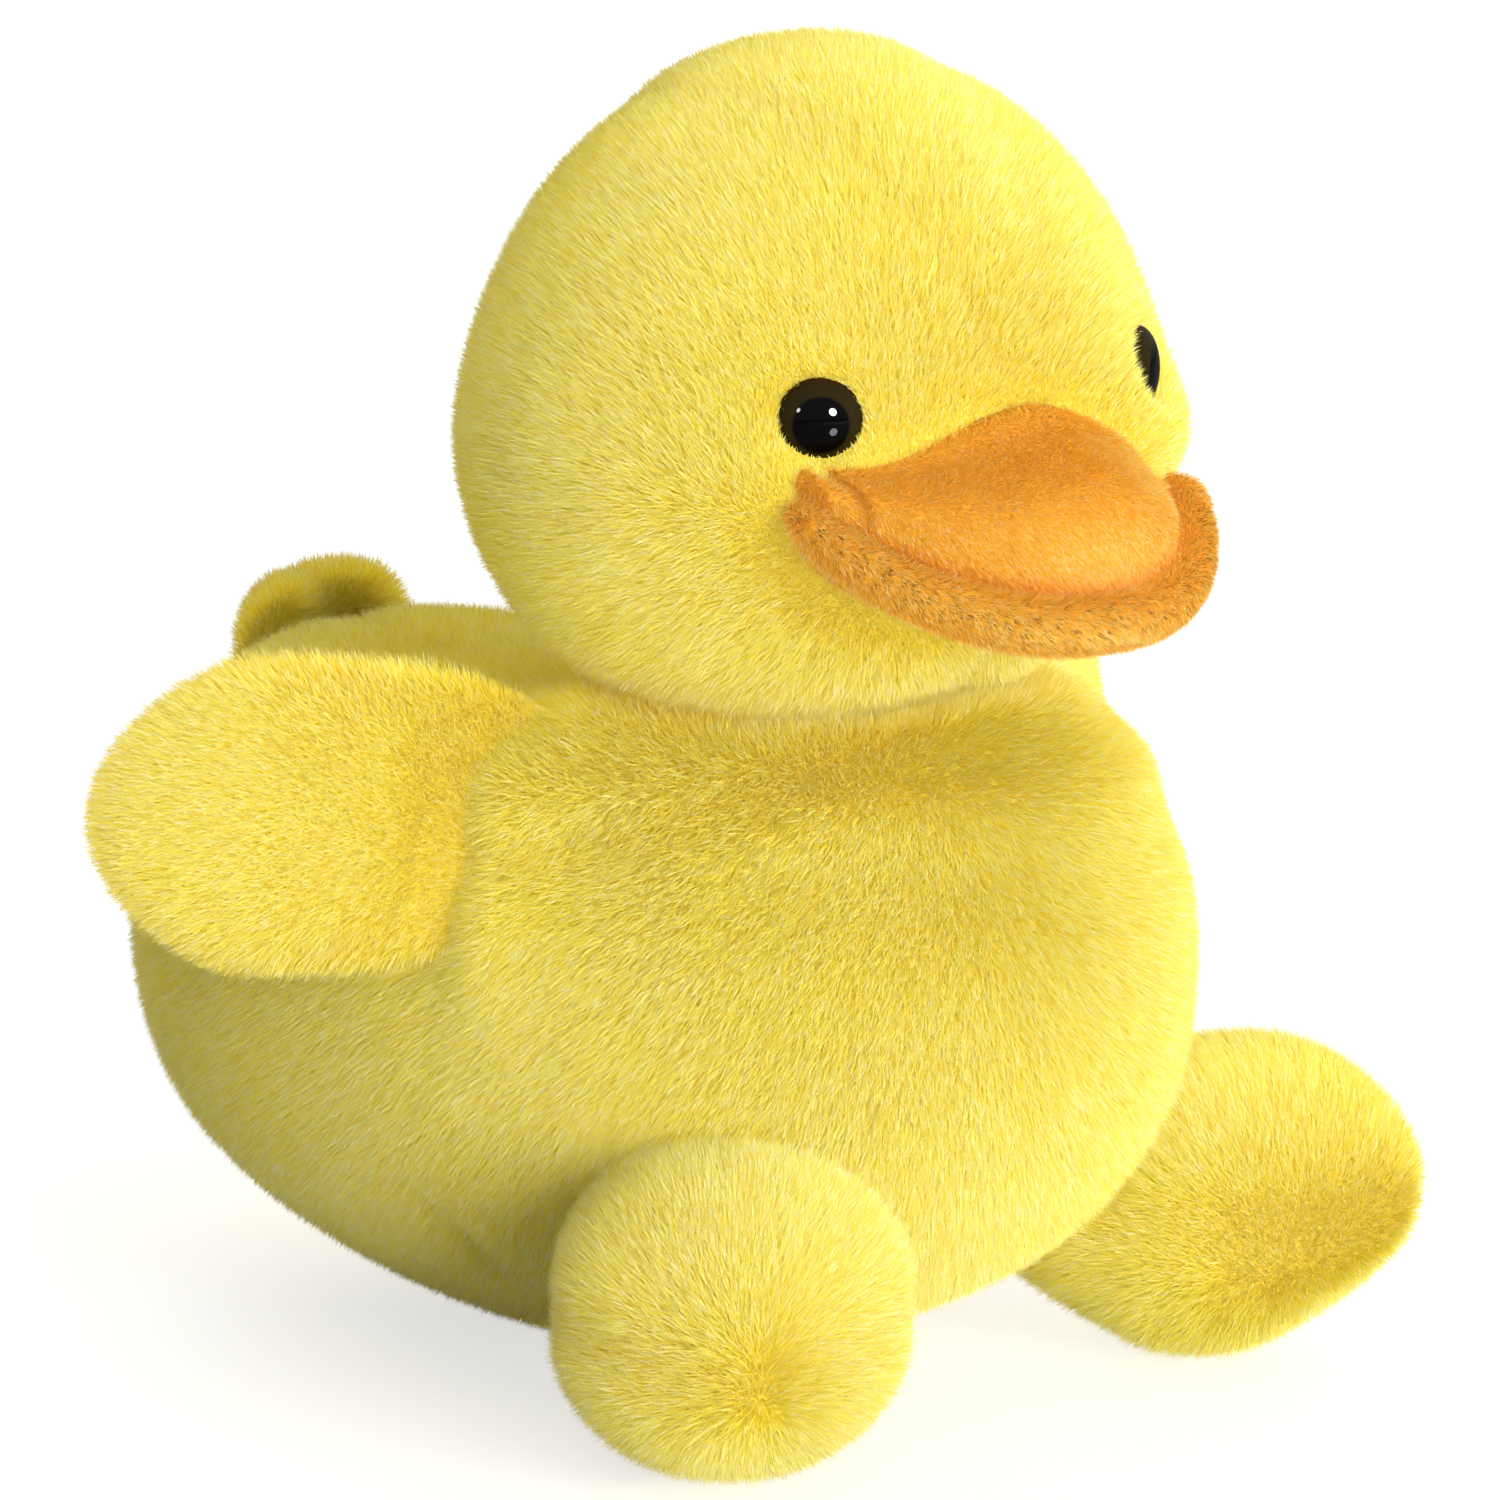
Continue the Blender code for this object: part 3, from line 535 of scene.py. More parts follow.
def strand_tree():
    """The growing of plush strands on a skin, as a Geometry Nodes tree with named inputs."""
    tree = bpy.data.node_groups.new("plush_pile", "GeometryNodeTree")
    face = tree.interface
    face.new_socket("Skin", in_out="INPUT", socket_type="NodeSocketGeometry")
    for label in ("Strands per area", "Length", "Width", "Lean", "Length spread", "Direction spread"):
        face.new_socket(label, in_out="INPUT", socket_type="NodeSocketFloat")
    face.new_socket("Strand", in_out="INPUT", socket_type="NodeSocketObject")
    face.new_socket("Finish", in_out="INPUT", socket_type="NodeSocketMaterial")
    face.new_socket("Seed", in_out="INPUT", socket_type="NodeSocketInt")
    face.new_socket("Pile", in_out="OUTPUT", socket_type="NodeSocketGeometry")
    recipe = Recipe(tree)
    given = recipe.make("NodeGroupInput")

    def number(label):
        return recipe.make("GeometryNodeInputNamedAttribute", {"data_type": "FLOAT"}, {"Name": label})[0]

    def vector(label):
        return recipe.make("GeometryNodeInputNamedAttribute", {"data_type": "FLOAT_VECTOR"}, {"Name": label})[0]

    def vectors(operation, inputs):
        return recipe.make("ShaderNodeVectorMath", {"operation": operation}, inputs)[0]

    def chance(kind, low, high, extra):
        seed = given["Seed"] + extra
        sockets = {"FLOAT": (2, 3, 1), "FLOAT_VECTOR": (0, 1, 0)}[kind]
        made = recipe.make("FunctionNodeRandomValue", {"data_type": kind}, {sockets[0]: low, sockets[1]: high, 8: seed})
        return made[sockets[2]]

    spots = recipe.make(
        "GeometryNodeDistributePointsOnFaces", {"distribute_method": "RANDOM"},
        {"Mesh": given["Skin"], "Density": number("density") * given["Strands per area"], "Seed": given["Seed"]},
    )
    kept = recipe.make(
        "GeometryNodeStoreNamedAttribute", {"data_type": "FLOAT_VECTOR", "domain": "POINT"},
        {"Geometry": spots["Points"], "Name": "outward", "Value": spots["Normal"]},
    )
    stray = chance("FLOAT_VECTOR", (-1.0, -1.0, -1.0), (1.0, 1.0, 1.0), 11)
    comb = vectors("SCALE", {0: vector("comb"), "Scale": given["Lean"]})
    stray = vectors("SCALE", {0: stray, "Scale": given["Direction spread"]})
    way = vectors("ADD", {0: vectors("ADD", {0: vector("outward"), 1: comb}), 1: stray})
    way = vectors("NORMALIZE", {0: way})
    upright = recipe.make("FunctionNodeAlignRotationToVector", {"axis": "Z"}, {"Vector": way})[0]
    inward = vectors("SCALE", {0: vector("outward"), "Scale": -1.0})
    facing = recipe.make(
        "FunctionNodeAlignRotationToVector", {"axis": "Y", "pivot_axis": "Z"}, {"Rotation": upright, "Vector": inward}
    )[0]
    twist = recipe.make("ShaderNodeCombineXYZ", {}, {2: chance("FLOAT", -0.9, 0.9, 12)})[0]
    twisted = recipe.make(
        "FunctionNodeRotateRotation", {"rotation_space": "LOCAL"},
        {0: facing, 1: recipe.make("FunctionNodeEulerToRotation", {}, {0: twist})[0]},
    )[0]
    length = given["Length"] * number("pile") * (1 + given["Length spread"] * chance("FLOAT", -1.0, 1.0, 13))
    size = recipe.make("ShaderNodeCombineXYZ", {}, {0: given["Width"], 1: given["Width"], 2: length})[0]
    shape = recipe.make("GeometryNodeObjectInfo", {}, {"Object": given["Strand"]})["Geometry"]
    grown = recipe.make(
        "GeometryNodeInstanceOnPoints", {},
        {"Points": kept["Geometry"], "Instance": shape, "Rotation": twisted, "Scale": size},
    )["Instances"]
    real = recipe.make("GeometryNodeRealizeInstances", {}, {"Geometry": grown})["Geometry"]
    done = recipe.make("GeometryNodeSetMaterial", {}, {"Geometry": real, "Material": given["Finish"]})["Geometry"]
    recipe.make("NodeGroupOutput", {}, {"Pile": done})
    return tree


def strand_shape():
    """One strand of unit size: a thin blade that runs to a point."""
    made = mesh_object("strand", [(-0.5, 0, 0), (0.5, 0, 0), (0, 0, 1)], [(0, 1, 2)])
    made.hide_render = True
    return made


def grow(name, skin, share, seed, finish, sizes=()):
    """The pile on a skin as one plain mesh. share says where it grows, from 0 to 1 at each of the skin's points,
    and sizes holds the tree's inputs that differ from the plush pile's."""
    mesh = skin.data.copy()
    number_at(mesh, "density", share)
    ground = bpy.data.objects.new(name, mesh)
    bpy.context.scene.collection.objects.link(ground)
    modifier = ground.modifiers.new("pile", "NODES")
    modifier.node_group = PILE
    values = {
        "Strands per area": STRANDS_PER_METRE, "Length": PILE_LENGTH, "Width": STRAND_WIDTH,
        "Lean": math.tan(math.radians(PILE_LEAN)), "Length spread": STRAND_LENGTH_SPREAD,
        "Direction spread": STRAND_DIRECTION_SPREAD, "Strand": STRAND, "Finish": finish, "Seed": seed,
    }
    values.update(sizes)
    for item in PILE.interface.items_tree:
        if item.in_out == "INPUT" and item.name in values:
            modifier[item.identifier] = values[item.name]
    settle(ground)
    finish_strands(ground.data, seed)
    ground.visible_shadow = False
    return ground


def finish_strands(mesh, seed):
    """Tones each strand, keeps it above the floor, and turns its shading the skin's way."""
    points = places(mesh)
    count = len(points) // 3
    points[:, 2] = np.maximum(points[:, 2], FLOOR_CLEARANCE)
    put(mesh, points)
    chance = np.random.default_rng(seed)
    number_at(mesh, "along", np.tile([0.0, 0.0, 1.0], count))
    number_at(mesh, "tone", np.repeat(chance.random(count), 3))
    outward = np.zeros(len(points) * 3, np.float32)
    mesh.attributes["outward"].data.foreach_get("vector", outward)
    outward = outward.reshape(-1, 3)
    outward = outward + np.repeat(chance.normal(0.0, 0.22, (count, 3)), 3, axis=0)
    outward /= np.linalg.norm(outward, axis=1, keepdims=True)
    for name in ("density", "comb", "pile", "outward"):
        if name in mesh.attributes:
            mesh.attributes.remove(mesh.attributes[name])
    vector_at(mesh, "custom_normal", outward)


# ---------------------------------------------------------------- finishes

def moulded(name, shade, roughness):
    """Plain moulded plastic with a faint grain."""
    material, recipe = new_material(name)
    where = recipe.make("ShaderNodeTexCoord")["Object"]
    grain = recipe.noise(where, 1400.0, 2.0)
    bump = recipe.make("ShaderNodeBump", {}, {"Strength": 0.15, "Distance": 0.0002, "Height": grain})[0]
    surface(recipe, {"Base Color": shade, "Roughness": roughness, "Normal": bump})
    return material


def eye_material():
    """A glossy eye: a black pupil in a dark brown rim, by how far a point is from the middle."""
    material, recipe = new_material("eye_gloss")
    out = recipe.attribute("out")["Fac"]
    pupil = recipe.mix(out.smooth(0.60, 0.70), colour(4, 4, 4), colour(44, 36, 10))
    shade = recipe.mix(out.smooth(0.93, 1.0), pupil, colour(66, 22, 10))
    surface(recipe, {
        "Base Color": shade, "Roughness": 0.2, "Coat Weight": 0.16, "Coat Roughness": 0.02,
        "Coat IOR": 1.42, "Specular IOR Level": 0.0,
    })
    return material


# ---------------------------------------------------------------- combing

def comb_along(mesh, way):
    """A combing direction along the skin at each point. It fades where the way stands straight up from the skin."""
    normal = directions(mesh)
    way = np.broadcast_to(np.asarray(way, float), normal.shape)
    way = way / np.linalg.norm(way, axis=1, keepdims=True)
    flat = way - normal * (way * normal).sum(1, keepdims=True)
    return flat / np.maximum(np.linalg.norm(flat, axis=1, keepdims=True), 0.45)


def ruffled(points, amount):
    """A slow sway of the combing over the cloth: waves along x and y, each with its phase."""
    waves = ((71, 23, 0.3), (-37, 58, 1.1), (29, -64, 2.0), (83, 41, 0.7))
    sway = np.zeros_like(points)
    for number, (one, two, phase) in enumerate(waves):
        turn = np.sin(points[:, 0] * one + points[:, 1] * two + points[:, 2] * (one - two) + phase)
        sway[:, number % 3] += turn
        sway[:, (number + 1) % 3] -= 0.5 * turn
    return amount * sway


def one_way(x, y, z):
    """Combing in one direction over a whole piece."""
    return lambda points: np.tile([x, y, z], (len(points), 1)).astype(float)


def away_from_neck(points):
    """The level direction from the neck's upright line to each point."""
    away = points - [0, NECK_Y, 0]
    away[:, 2] = 0
    return away / np.maximum(np.linalg.norm(away, axis=1, keepdims=True), 1e-6)


def down_body(points):
    """The body's combing: away from the neck over the shoulders, and down below them."""
    high = eased(points[:, 2], 0.06, 0.11)[:, None]
    return away_from_neck(points) * high + np.array([0, 0.3, -0.95]) * (1 - 0.75 * high)


# ---------------------------------------------------------------- stuffed pieces

def furred(name, panels, filling, voxel, swell, way, meets, replaced=(), under=UNDER_PILE, root=None, bend=None,
           shape=None, cover=None):
    """A stuffed piece: its sewn skin, and on each panel a piece of pile.

    voxel and swell say how fine the skin is and how far it swells, way how it is combed, meets what it lies against,
    under how far it lies inside its panels, root how its end is tucked in, shape its form beyond the solids', and cover
    where pile grows and how long. bend, when given, has the pieces' placing applied to their meshes instead of their
    being attached to a body; the two places in it are not used."""
    skin = stuffed(name + "_skin", panels, filling, voxel, swell, under, root)
    mesh = skin.data
    mesh.materials.clear()
    mesh.materials.append(YELLOW_BACKING)
    points = places(mesh)
    apart, owner = seam_closeness(points, panels)
    seam = hump(apart, 0, SEAM_WIDTH)
    points = points - directions(mesh) * (seam * SEAM_DEPTH)[:, None]
    if shape:
        points = shape(points, directions(mesh))
    put(mesh, points)
    combed = comb_along(mesh, way(points) + ruffled(points, 0.16))
    vector_at(mesh, "comb", combed)
    laid = eased(np.linalg.norm(combed, axis=1), 0.1, 0.9)
    strong = PAINTED_CREASE_SHADE_STRENGTH.get(name, PAINTED_CREASE_SHADE_ON_LIMBS)
    # Painted shade: the pile's colour is deepened near what the piece meets, more towards the back
    painted_crease_shade = near(meets, points, PAINTED_CREASE_SHADE_REACH) * strong * (0.3 + 0.7 * eased(points[:, 1], -0.07, -0.03))
    pile = (1 - 0.1 * seam) * (0.6 + 0.4 * laid)
    shown = np.ones(len(points))
    if cover:
        shown, shorter = cover(points)
        pile = pile * shorter
    number_at(mesh, "pile", pile)
    # Painted shade along the seams as well
    number_at(mesh, "painted_crease_shade", np.clip(painted_crease_shade + 0.06 * seam, 0, 1))
    made = [skin]
    for number, panel in enumerate(panels):
        share = (owner == number) * shown * (0.7 + 0.3 * laid)
        made.append(grow(panel + "_pile", skin, share, next(PANEL_SEEDS), YELLOW))
    for piece in made:
        if bend:
            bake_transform(piece)
        else:
            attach(piece, name)
    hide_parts(*panels, *filling, *replaced)


def off_neck(points):
    """How far each point is from the neck's upright line."""
    return np.hypot(points[:, 0], points[:, 1] - NECK_Y)


def off_line(points, start, end):
    """How far each point is from the line between two places."""
    start, end = np.array(start), np.array(end)
    share = np.clip((points - start) @ (end - start) / ((end - start) @ (end - start)), 0, 1)
    return np.linalg.norm(points - start - np.outer(share, end - start), axis=1)


def off_axis(points, place, way):
    """How far each point is from the endless line through a place."""
    return np.linalg.norm(np.cross(points - place, way), axis=1)


def front_quarter(sign):
    """The level direction half way between the front and one side."""
    return np.array([sign * 0.743, -0.669, 0])


def eye_place(side):
    """Where an eye's dome stands: the middle of its front, the way that it looks, and the way across it."""
    turn = math.radians(38)
    way = np.array([SIDES[side] * math.sin(turn), -math.cos(turn), 0.0])
    across = np.array([-way[1], way[0], 0.0])
    points = places(CAD[f"eye_{side}"].data)
    middle = (points @ across).min() / 2 + (points @ across).max() / 2
    high = (points[:, 2].min() + points[:, 2].max()) / 2
    return across * middle + way * (points @ way).max() + np.array([0, 0, high]), way, across


# ---------------------------------------------------------------- body and head

def body_shape(points, normals):
    """The body's form: lower behind and beside the neck, and brought up to the head and in front of the wings,
    fuller in the chest just below the neck, and with a dart between flank and foot."""
    slope = 0.26 * eased(points[:, 1], -0.07, -0.045) + 0.36 * eased(points[:, 1], -0.025, 0.012)
    slope *= 1 - eased(points[:, 1], 0.045, 0.075)
    points = points.copy()
    points[:, 2] -= np.maximum(points[:, 2] - SHOULDER_HEIGHT, 0) * slope
    high = points[:, 2]
    rise = near(HEAD_PANELS, points, 8e-3) * (off_neck(points) > SEAT_RADIUS)
    rise = NECK_RISE * rise * (1 - 0.8 * eased(-points[:, 1], 0.03, 0.07))
    for side, sign in SIDES.items():
        gap = np.linalg.norm(points - [sign * 0.026, 0.016, 0.093], axis=1)
        rise = rise + SHOULDER_BUMP * hump(gap, 0, 6e-3)
        chest = eased(normals @ front_quarter(sign), 0.5, 1.0)
        rise = rise + CHEST_FULLER * chest * hump(high, 0.097, 0.008)
        rise = rise - CHEST_TRIMMER * chest * hump(high, 0.081, 0.008)
        root, out = wing_root(sign)
        before = 1 - eased((points - root) @ out, -0.004, 0.006)
        rise = rise + WING_BED_RISE * before * near([f"wing_{side}_outer_panel"], points, 9e-3)
        flank = eased(normals @ -front_quarter(sign), 0.5, 1.0)
        rise = rise + FLANK_FULLER * flank * (1 - eased(high, 0.06, 0.09))
        dart = off_line(points, (sign * 0.051, -0.006, 0.032), (sign * 0.046, -0.02, 0.016))
        rise = rise - HIP_DART * hump(dart, 0, 2.6e-3)
    return points + normals * rise[:, None]


def body_cover(points):
    """No pile in the seat of the head."""
    inside = (points[:, 2] > 0.088) & (off_neck(points) < SEAT_RADIUS)
    return 1.0 * ~inside, np.ones(len(points))


def cheeks(points):
    """Fuller cheeks low on the head, slimmer temples above them, and a fuller crown."""
    high = (points[:, 2] - 0.0925) / 0.098
    out = away_from_neck(points)
    back = 0.15 + 0.85 * eased(out[:, 1], -0.6, 0.4)
    low = hump(high, 0.17, 0.15) * CHIN_FULLER
    for sign in SIDES.values():
        toward = eased(out @ front_quarter(sign), 0.75, 1.0)
        points = points + out * (CHEEK_SWELL * toward * hump(points[:, 2], 0.133, 9e-3))[:, None]
    trim = hump(high, 0.62, 0.2) * TEMPLE_TRIM - hump(high, 0.92, 0.08) * CROWN_FULLER
    return points + out * ((low - trim) * back)[:, None]


def head_shape(points, normals):
    """The head's form: its cheeks, a rim round each eye, and its underside brought out to the shoulders."""
    points = cheeks(points)
    for side in SIDES:
        front, way, _ = eye_place(side)
        rim = EYE_RIM * hump(off_axis(points, front, way), 7.5e-3, 2.5e-3)
        points = points + np.outer(rim * ((normals @ way) > 0), way)
    ring = near(BODY_PANELS, points, 7e-3) * (off_neck(points) > SEAT_RADIUS)
    ring = ring * eased(points[:, 1], -0.07, -0.04)
    return points + normals * (UNDERSIDE_RISE * ring)[:, None]


def head_cover(bill):
    """No pile under the bill and the eyes or on the seat, and a shorter one beside bill and eyes."""
    def cover(points):
        gap = away_from([bill], points)
        shown = eased(gap, 0.2e-3, 0.5e-3)
        shorter = 0.4 + 0.6 * eased(gap, 0.5e-3, 7e-3)
        for side in SIDES:
            front, way, _ = eye_place(side)
            gap = off_axis(points, front, way) + 1.0 * ((points - front) @ way < -0.02)
            shown = shown * eased(gap, 4.6e-3, 5.6e-3)
            shorter = shorter * (0.55 + 0.45 * eased(gap, 5e-3, 12e-3))
        inside = (points[:, 2] < 0.104) & (off_neck(points) < 0.018)
        return shown * ~inside, shorter
    return cover


def make_body():
    furred("body", BODY_PANELS, ["body_stuffing"], 4 * MM, 2.2 * MM, down_body, HEAD_PANELS,
           replaced=["pellet_pouch_base", "pellet_pouch_top", "pellet_fill"], under=0.3 * MM, shape=body_shape,
           cover=body_cover)


def make_head(bill):
    furred("head", HEAD_PANELS, ["head_stuffing"], 4 * MM, 2.0 * MM, one_way(0, 0.75, 0.65), BODY_PANELS,
           shape=head_shape, cover=head_cover(bill))


# ---------------------------------------------------------------- wings, feet and tail

def wing_root(sign):
    """Where a wing is sewn on, and the way that it points."""
    turn = math.radians(38)
    return np.array([sign * 0.0561, -0.0242, 0.0817]), np.array([sign * math.sin(turn), math.cos(turn), 0.0])


def wing_shape(root, way, curl, inset):
    """A longer and deeper wing with a higher root that leans in, whose tip curls out and which stands in."""
    def shaped(points, normals):
        out = (points - root) @ way
        inward = np.array([-way[1], way[0], 0.0]) * np.sign(way[0])
        far = eased(out, 0.012, 0.06)
        points = points + np.outer(out * 0.015 * far, way) - np.outer(curl * far ** 2, inward)
        points = points + np.outer(inset * eased(out, -0.01, 0.015), inward)
        points[:, 2] += (points[:, 2] - root[2]) * 0.10 * far + 1.2e-3 * far
        upper = eased(points[:, 2] - root[2], -0.008, 0.02)
        rooted = 1 - eased(out, 0.0, 0.035)
        points[:, 0] -= np.sign(way[0]) * 0.5 * np.maximum(points[:, 2] - root[2], 0) * rooted
        points[:, 2] += 7.5e-3 * upper * (1 - 0.92 * eased(out, 0.005, 0.055)) - 3.0e-3 * upper * rooted
        points += np.outer(6e-3 * upper * (1 - eased(out, -0.002, 0.012)), inward)
        return points
    return shaped


def foot_shape(root, way, lift, aside, lean):
    """A foot with a filled and risen toe, fuller at the top, that points aside and leans."""
    def shaped(points, normals):
        points = points.copy()
        reach = (points - root) @ way
        toe = points[reach > reach.max() - 0.012].mean(axis=0)
        off = np.linalg.norm(points - toe - np.outer((points - toe) @ way, way), axis=1)
        points += np.outer(TOE_FILL * hump(off, 0, 8e-3) * (reach > reach.max() - 0.02), way)
        out = np.clip(reach, 0, 0.06)
        points[:, 2] += out * (lift + 0.05 * eased(points[:, 2], 0.008, 0.03))
        points[:, 0] += aside * out + lean * (points[:, 2] - 0.028) * eased(out, 0.0, 0.03)
        return points
    return shaped


def tail_shape(points, normals):
    """A narrower tail with two ruffled lobes, leaning a little forward and to one side."""
    high = np.clip((points[:, 2] - 0.0807) / 0.019, 0, 1.4)
    points = points.copy()
    points[:, 0] = points[:, 0] * 0.84 + 3.2e-3 + 0.8e-3 * high
    points[:, 0] += 2.4e-3 * (1 - eased(high, 0.2, 0.8)) * eased(-points[:, 0], 0.0, 0.01)
    points[:, 1] -= 7.0e-3 * high ** 1.2
    across = points[:, 0]
    lobes = eased(across, 0.004, 0.016) + eased(-across, 0.0, 0.01)
    points[:, 2] += 1.2e-3 * high + 2.2e-3 * high * lobes
    points[:, 2] -= 3.0e-3 * hump(across, 1.5e-3, 2.2e-3) * high
    points[:, 1] += 1.6e-3 * np.sin(across * 420 + 0.7) * high
    return points


def make_wing(side, sign):
    root, out = wing_root(sign)
    furred(f"wing_{side}", [f"wing_{side}_outer_panel", f"wing_{side}_inner_panel"], [f"wing_{side}_stuffing"],
           2 * MM, 1.2 * MM, one_way(*out), BODY_PANELS, under=1.0 * MM,
           root=(root, out, (-sign, -0.2, -0.1), 11e-3, 30e-3), shape=wing_shape(root, out, *WING_FORMS[side]),
           bend=(tuple(root), tuple(root + out * 0.012)))


def make_foot(side, sign):
    out = np.array([sign * 0.5, -0.866, -0.14])
    root = np.array([sign * 0.0379, -0.0657, 0.03])
    furred(f"foot_{side}", [f"foot_{side}_upper_panel", f"foot_{side}_sole_panel"], [f"foot_{side}_stuffing"],
           3 * MM, 1.6 * MM, one_way(*(0.0, 0.0, 0.6) - out), BODY_PANELS, under=0.8 * MM,
           root=(root, out, -out, 7e-3, 20e-3), shape=foot_shape(root, out, *FOOT_FORMS[side]),
           bend=(tuple(root - out * 0.012), tuple(root + out * 0.012)))


def make_tail():
    out = np.array([0.0, 0.6, 0.8])
    root = np.array([0.0, 0.0855, 0.0807])
    furred("tail", ["tail_back_panel", "tail_front_panel"], ["tail_stuffing"], 2 * MM, 1.0 * MM, one_way(*out),
           BODY_PANELS, under=1.2 * MM, root=(root, out, (0, -0.5, -0.87), 5e-3, 9e-3), shape=tail_shape,
           bend=(tuple(root), tuple(root + out * 0.01)))


# ---------------------------------------------------------------- bill

def tilted(across, forward, up):
    """A direction given by how far it goes across, forward and up."""
    return np.array([across, -forward, up])


def bill_dome(upper, groove, swell, far, near_end):
    """The dome of one row, from its root on the face to the groove."""
    way = tilted(0, math.cos(math.radians(31)), math.sin(math.radians(31)))
    made = []
    for share in np.linspace(0, 1, DOME_STEPS)[1:-1]:
        bulge = math.sin(math.pi * share ** 1.65) ** (1.05 - 0.55 * share)
        point = upper + (groove - upper) * share + way * swell * bulge
        point += np.array([-0.743, -0.669, 0.2]) * 2.2e-3 * near_end ** 5
        point[0] -= 4.5e-3 * far * math.sin(math.pi * share)
        made.append(point)
    return made


def bill_row(turn, face, corner_y):
    """One row round the bill: root on the face, dome, groove, rolled lip, underside, and the face again."""
    lip_up = tilted(0, math.sin(math.radians(41)), math.cos(math.radians(41)))
    lip_out = tilted(0, math.cos(math.radians(41)), -math.sin(math.radians(41)))
    fullness = max(0.0, (math.cos(turn) - math.cos(BILL_SPREAD)) / (1 - math.cos(BILL_SPREAD)))
    full = BILL_CORNER_SHARE + (1 - BILL_CORNER_SHARE) * fullness
    across = BILL_HALF_WIDTH * math.sin(turn) / math.sin(BILL_SPREAD)
    far, near_end = max(0.0, across / BILL_HALF_WIDTH), max(0.0, -across / BILL_HALF_WIDTH)
    peak = BILL_CORNER + 1.0e-3 + (BILL_PEAK - BILL_CORNER - 2.6e-3) * full ** 6
    upper = np.array([across, face(across, peak), peak])
    groove = np.array([
        across, corner_y + (BILL_REACH - corner_y) * full ** 1.4,
        BILL_CORNER - (BILL_CORNER - BILL_FRONT) * full ** 1.05,
    ])
    outward = np.array([math.sin(turn), 0, 0]) + lip_out * full
    outward /= np.linalg.norm(outward)
    lip = BILL_LIP * full ** 0.25
    low = np.array([across, face(across, groove[2] - BILL_UNDER), groove[2] - BILL_UNDER])
    inside = np.array([0, 0.003, 0])
    row = [upper + inside]
    row += bill_dome(upper, groove, BILL_DOME * full ** 0.9 * (1 - 0.35 * far), far, near_end)
    row.append(groove - lip_up * 0.5e-3 - outward * 0.4e-3)
    middle = groove + outward * lip * 0.52 - lip_up * 0.4e-3
    for angle in np.linspace(math.radians(150), math.radians(-110), LIP_STEPS):
        row.append(middle + outward * lip * 0.56 * math.cos(angle) + lip_up * lip * 0.56 * math.sin(angle))
    last = row[-1]
    for share in (0.35, 0.7, 1.0):
        row.append(last + (low + inside - last) * share)
    row = np.array(row)
    ended = max(0.0, (abs(turn) / BILL_SPREAD - 0.94) / 0.06)
    anchor = (upper + low) / 2 + inside
    row = anchor + (row - anchor) * math.sqrt(max(0.0, 1 - 0.98 * ended ** 2))
    row[:, 2] -= 5.2e-3 * far ** 1.5
    row[:, 0] -= 2.8e-3 * far
    return row


def face_finder():
    """What gives how far forward the head's face is at a place across and a height."""
    tree = tree_of(HEAD_PANELS)

    def face(across, height):
        hit = tree.ray_cast(Vector((across, -0.2, height)), Vector((0, 1, 0)))[0]
        return hit.y if hit else -0.05
    return face


def bill_mesh():
    """The bill's skin, its rows joined from corner to corner."""
    face = face_finder()
    corner_y = face(BILL_HALF_WIDTH, BILL_CORNER)
    turns = np.linspace(-BILL_SPREAD, BILL_SPREAD, BILL_ROWS)
    rows = np.array([bill_row(turn, face, corner_y) for turn in turns])
    wide = rows.shape[1]
    faces = []
    for row in range(BILL_ROWS - 1):
        for place in range(wide):
            after = (place + 1) % wide
            faces.append((row * wide + place, row * wide + after, (row + 1) * wide + after, (row + 1) * wide + place))
    faces.append(tuple(range(wide)))
    faces.append(tuple(reversed(range((BILL_ROWS - 1) * wide, BILL_ROWS * wide))))
    skin = mesh_object("bill_skin", rows.reshape(-1, 3), faces)
    faces_outward(skin.data)
    smooth_shaded(skin.data)
    skin.data.materials.append(ORANGE_BACKING)
    return skin, np.tile(np.arange(wide), BILL_ROWS)


def make_bill():
    """The bill: one skin with a knotted lip, and short pile on its dome and its lip."""
    skin, place = bill_mesh()
    mesh = skin.data
    knots = np.array([noise.noise(Vector(point) * 420) for point in places(mesh)])
    fine = np.array([noise.noise(Vector(point) * 1900) for point in places(mesh)])
    ridge = hump(place, RIDGE_PLACE, 5.0)
    put(mesh, places(mesh) + directions(mesh) * (ridge * (0.3e-3 + 0.25e-3 * knots + 0.22e-3 * fine))[:, None])
    on_lip = (place > GROOVE_PLACE) & (place < LIP_END)
    hidden = (place == 0) | (place >= HIDDEN_FROM)
    way = np.zeros((len(place), 3))
    way[:] = (0.25, -0.5, -0.8)
    way[on_lip] = (0.0, -0.6, -0.7)
    vector_at(mesh, "comb", comb_along(mesh, way + ruffled(places(mesh), 0.3)))
    number_at(mesh, "pile", np.where(on_lip, 1.0, 0.8))
    # Painted shade in the groove between the dome and the lip
    number_at(mesh, "painted_crease_shade", 0.7 * hump(place, GROOVE_PLACE, 1.8))
    # The lip's ridge gets dark flecks and pale painted highlights
    number_at(mesh, "flecks_and_painted_highlights", ridge)
    sizes = {
        "Strands per area": BILL_STRANDS_PER_METRE, "Length": BILL_PILE_LENGTH, "Width": BILL_STRAND_WIDTH,
        "Lean": 0.9, "Direction spread": 0.5,
    }
    skin.visible_shadow = False
    share = 1.0 * ~hidden
    made = [
        skin,
        grow("bill_upper_panel_pile", skin, share * ~on_lip, 31, ORANGE, sizes),
        grow("bill_lower_panel_pile", skin, share * on_lip, 32, ORANGE, sizes),
    ]
    for piece in made:
        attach(piece, "head")
    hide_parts(*BILL_NODES)
    return skin


# ---------------------------------------------------------------- eyes

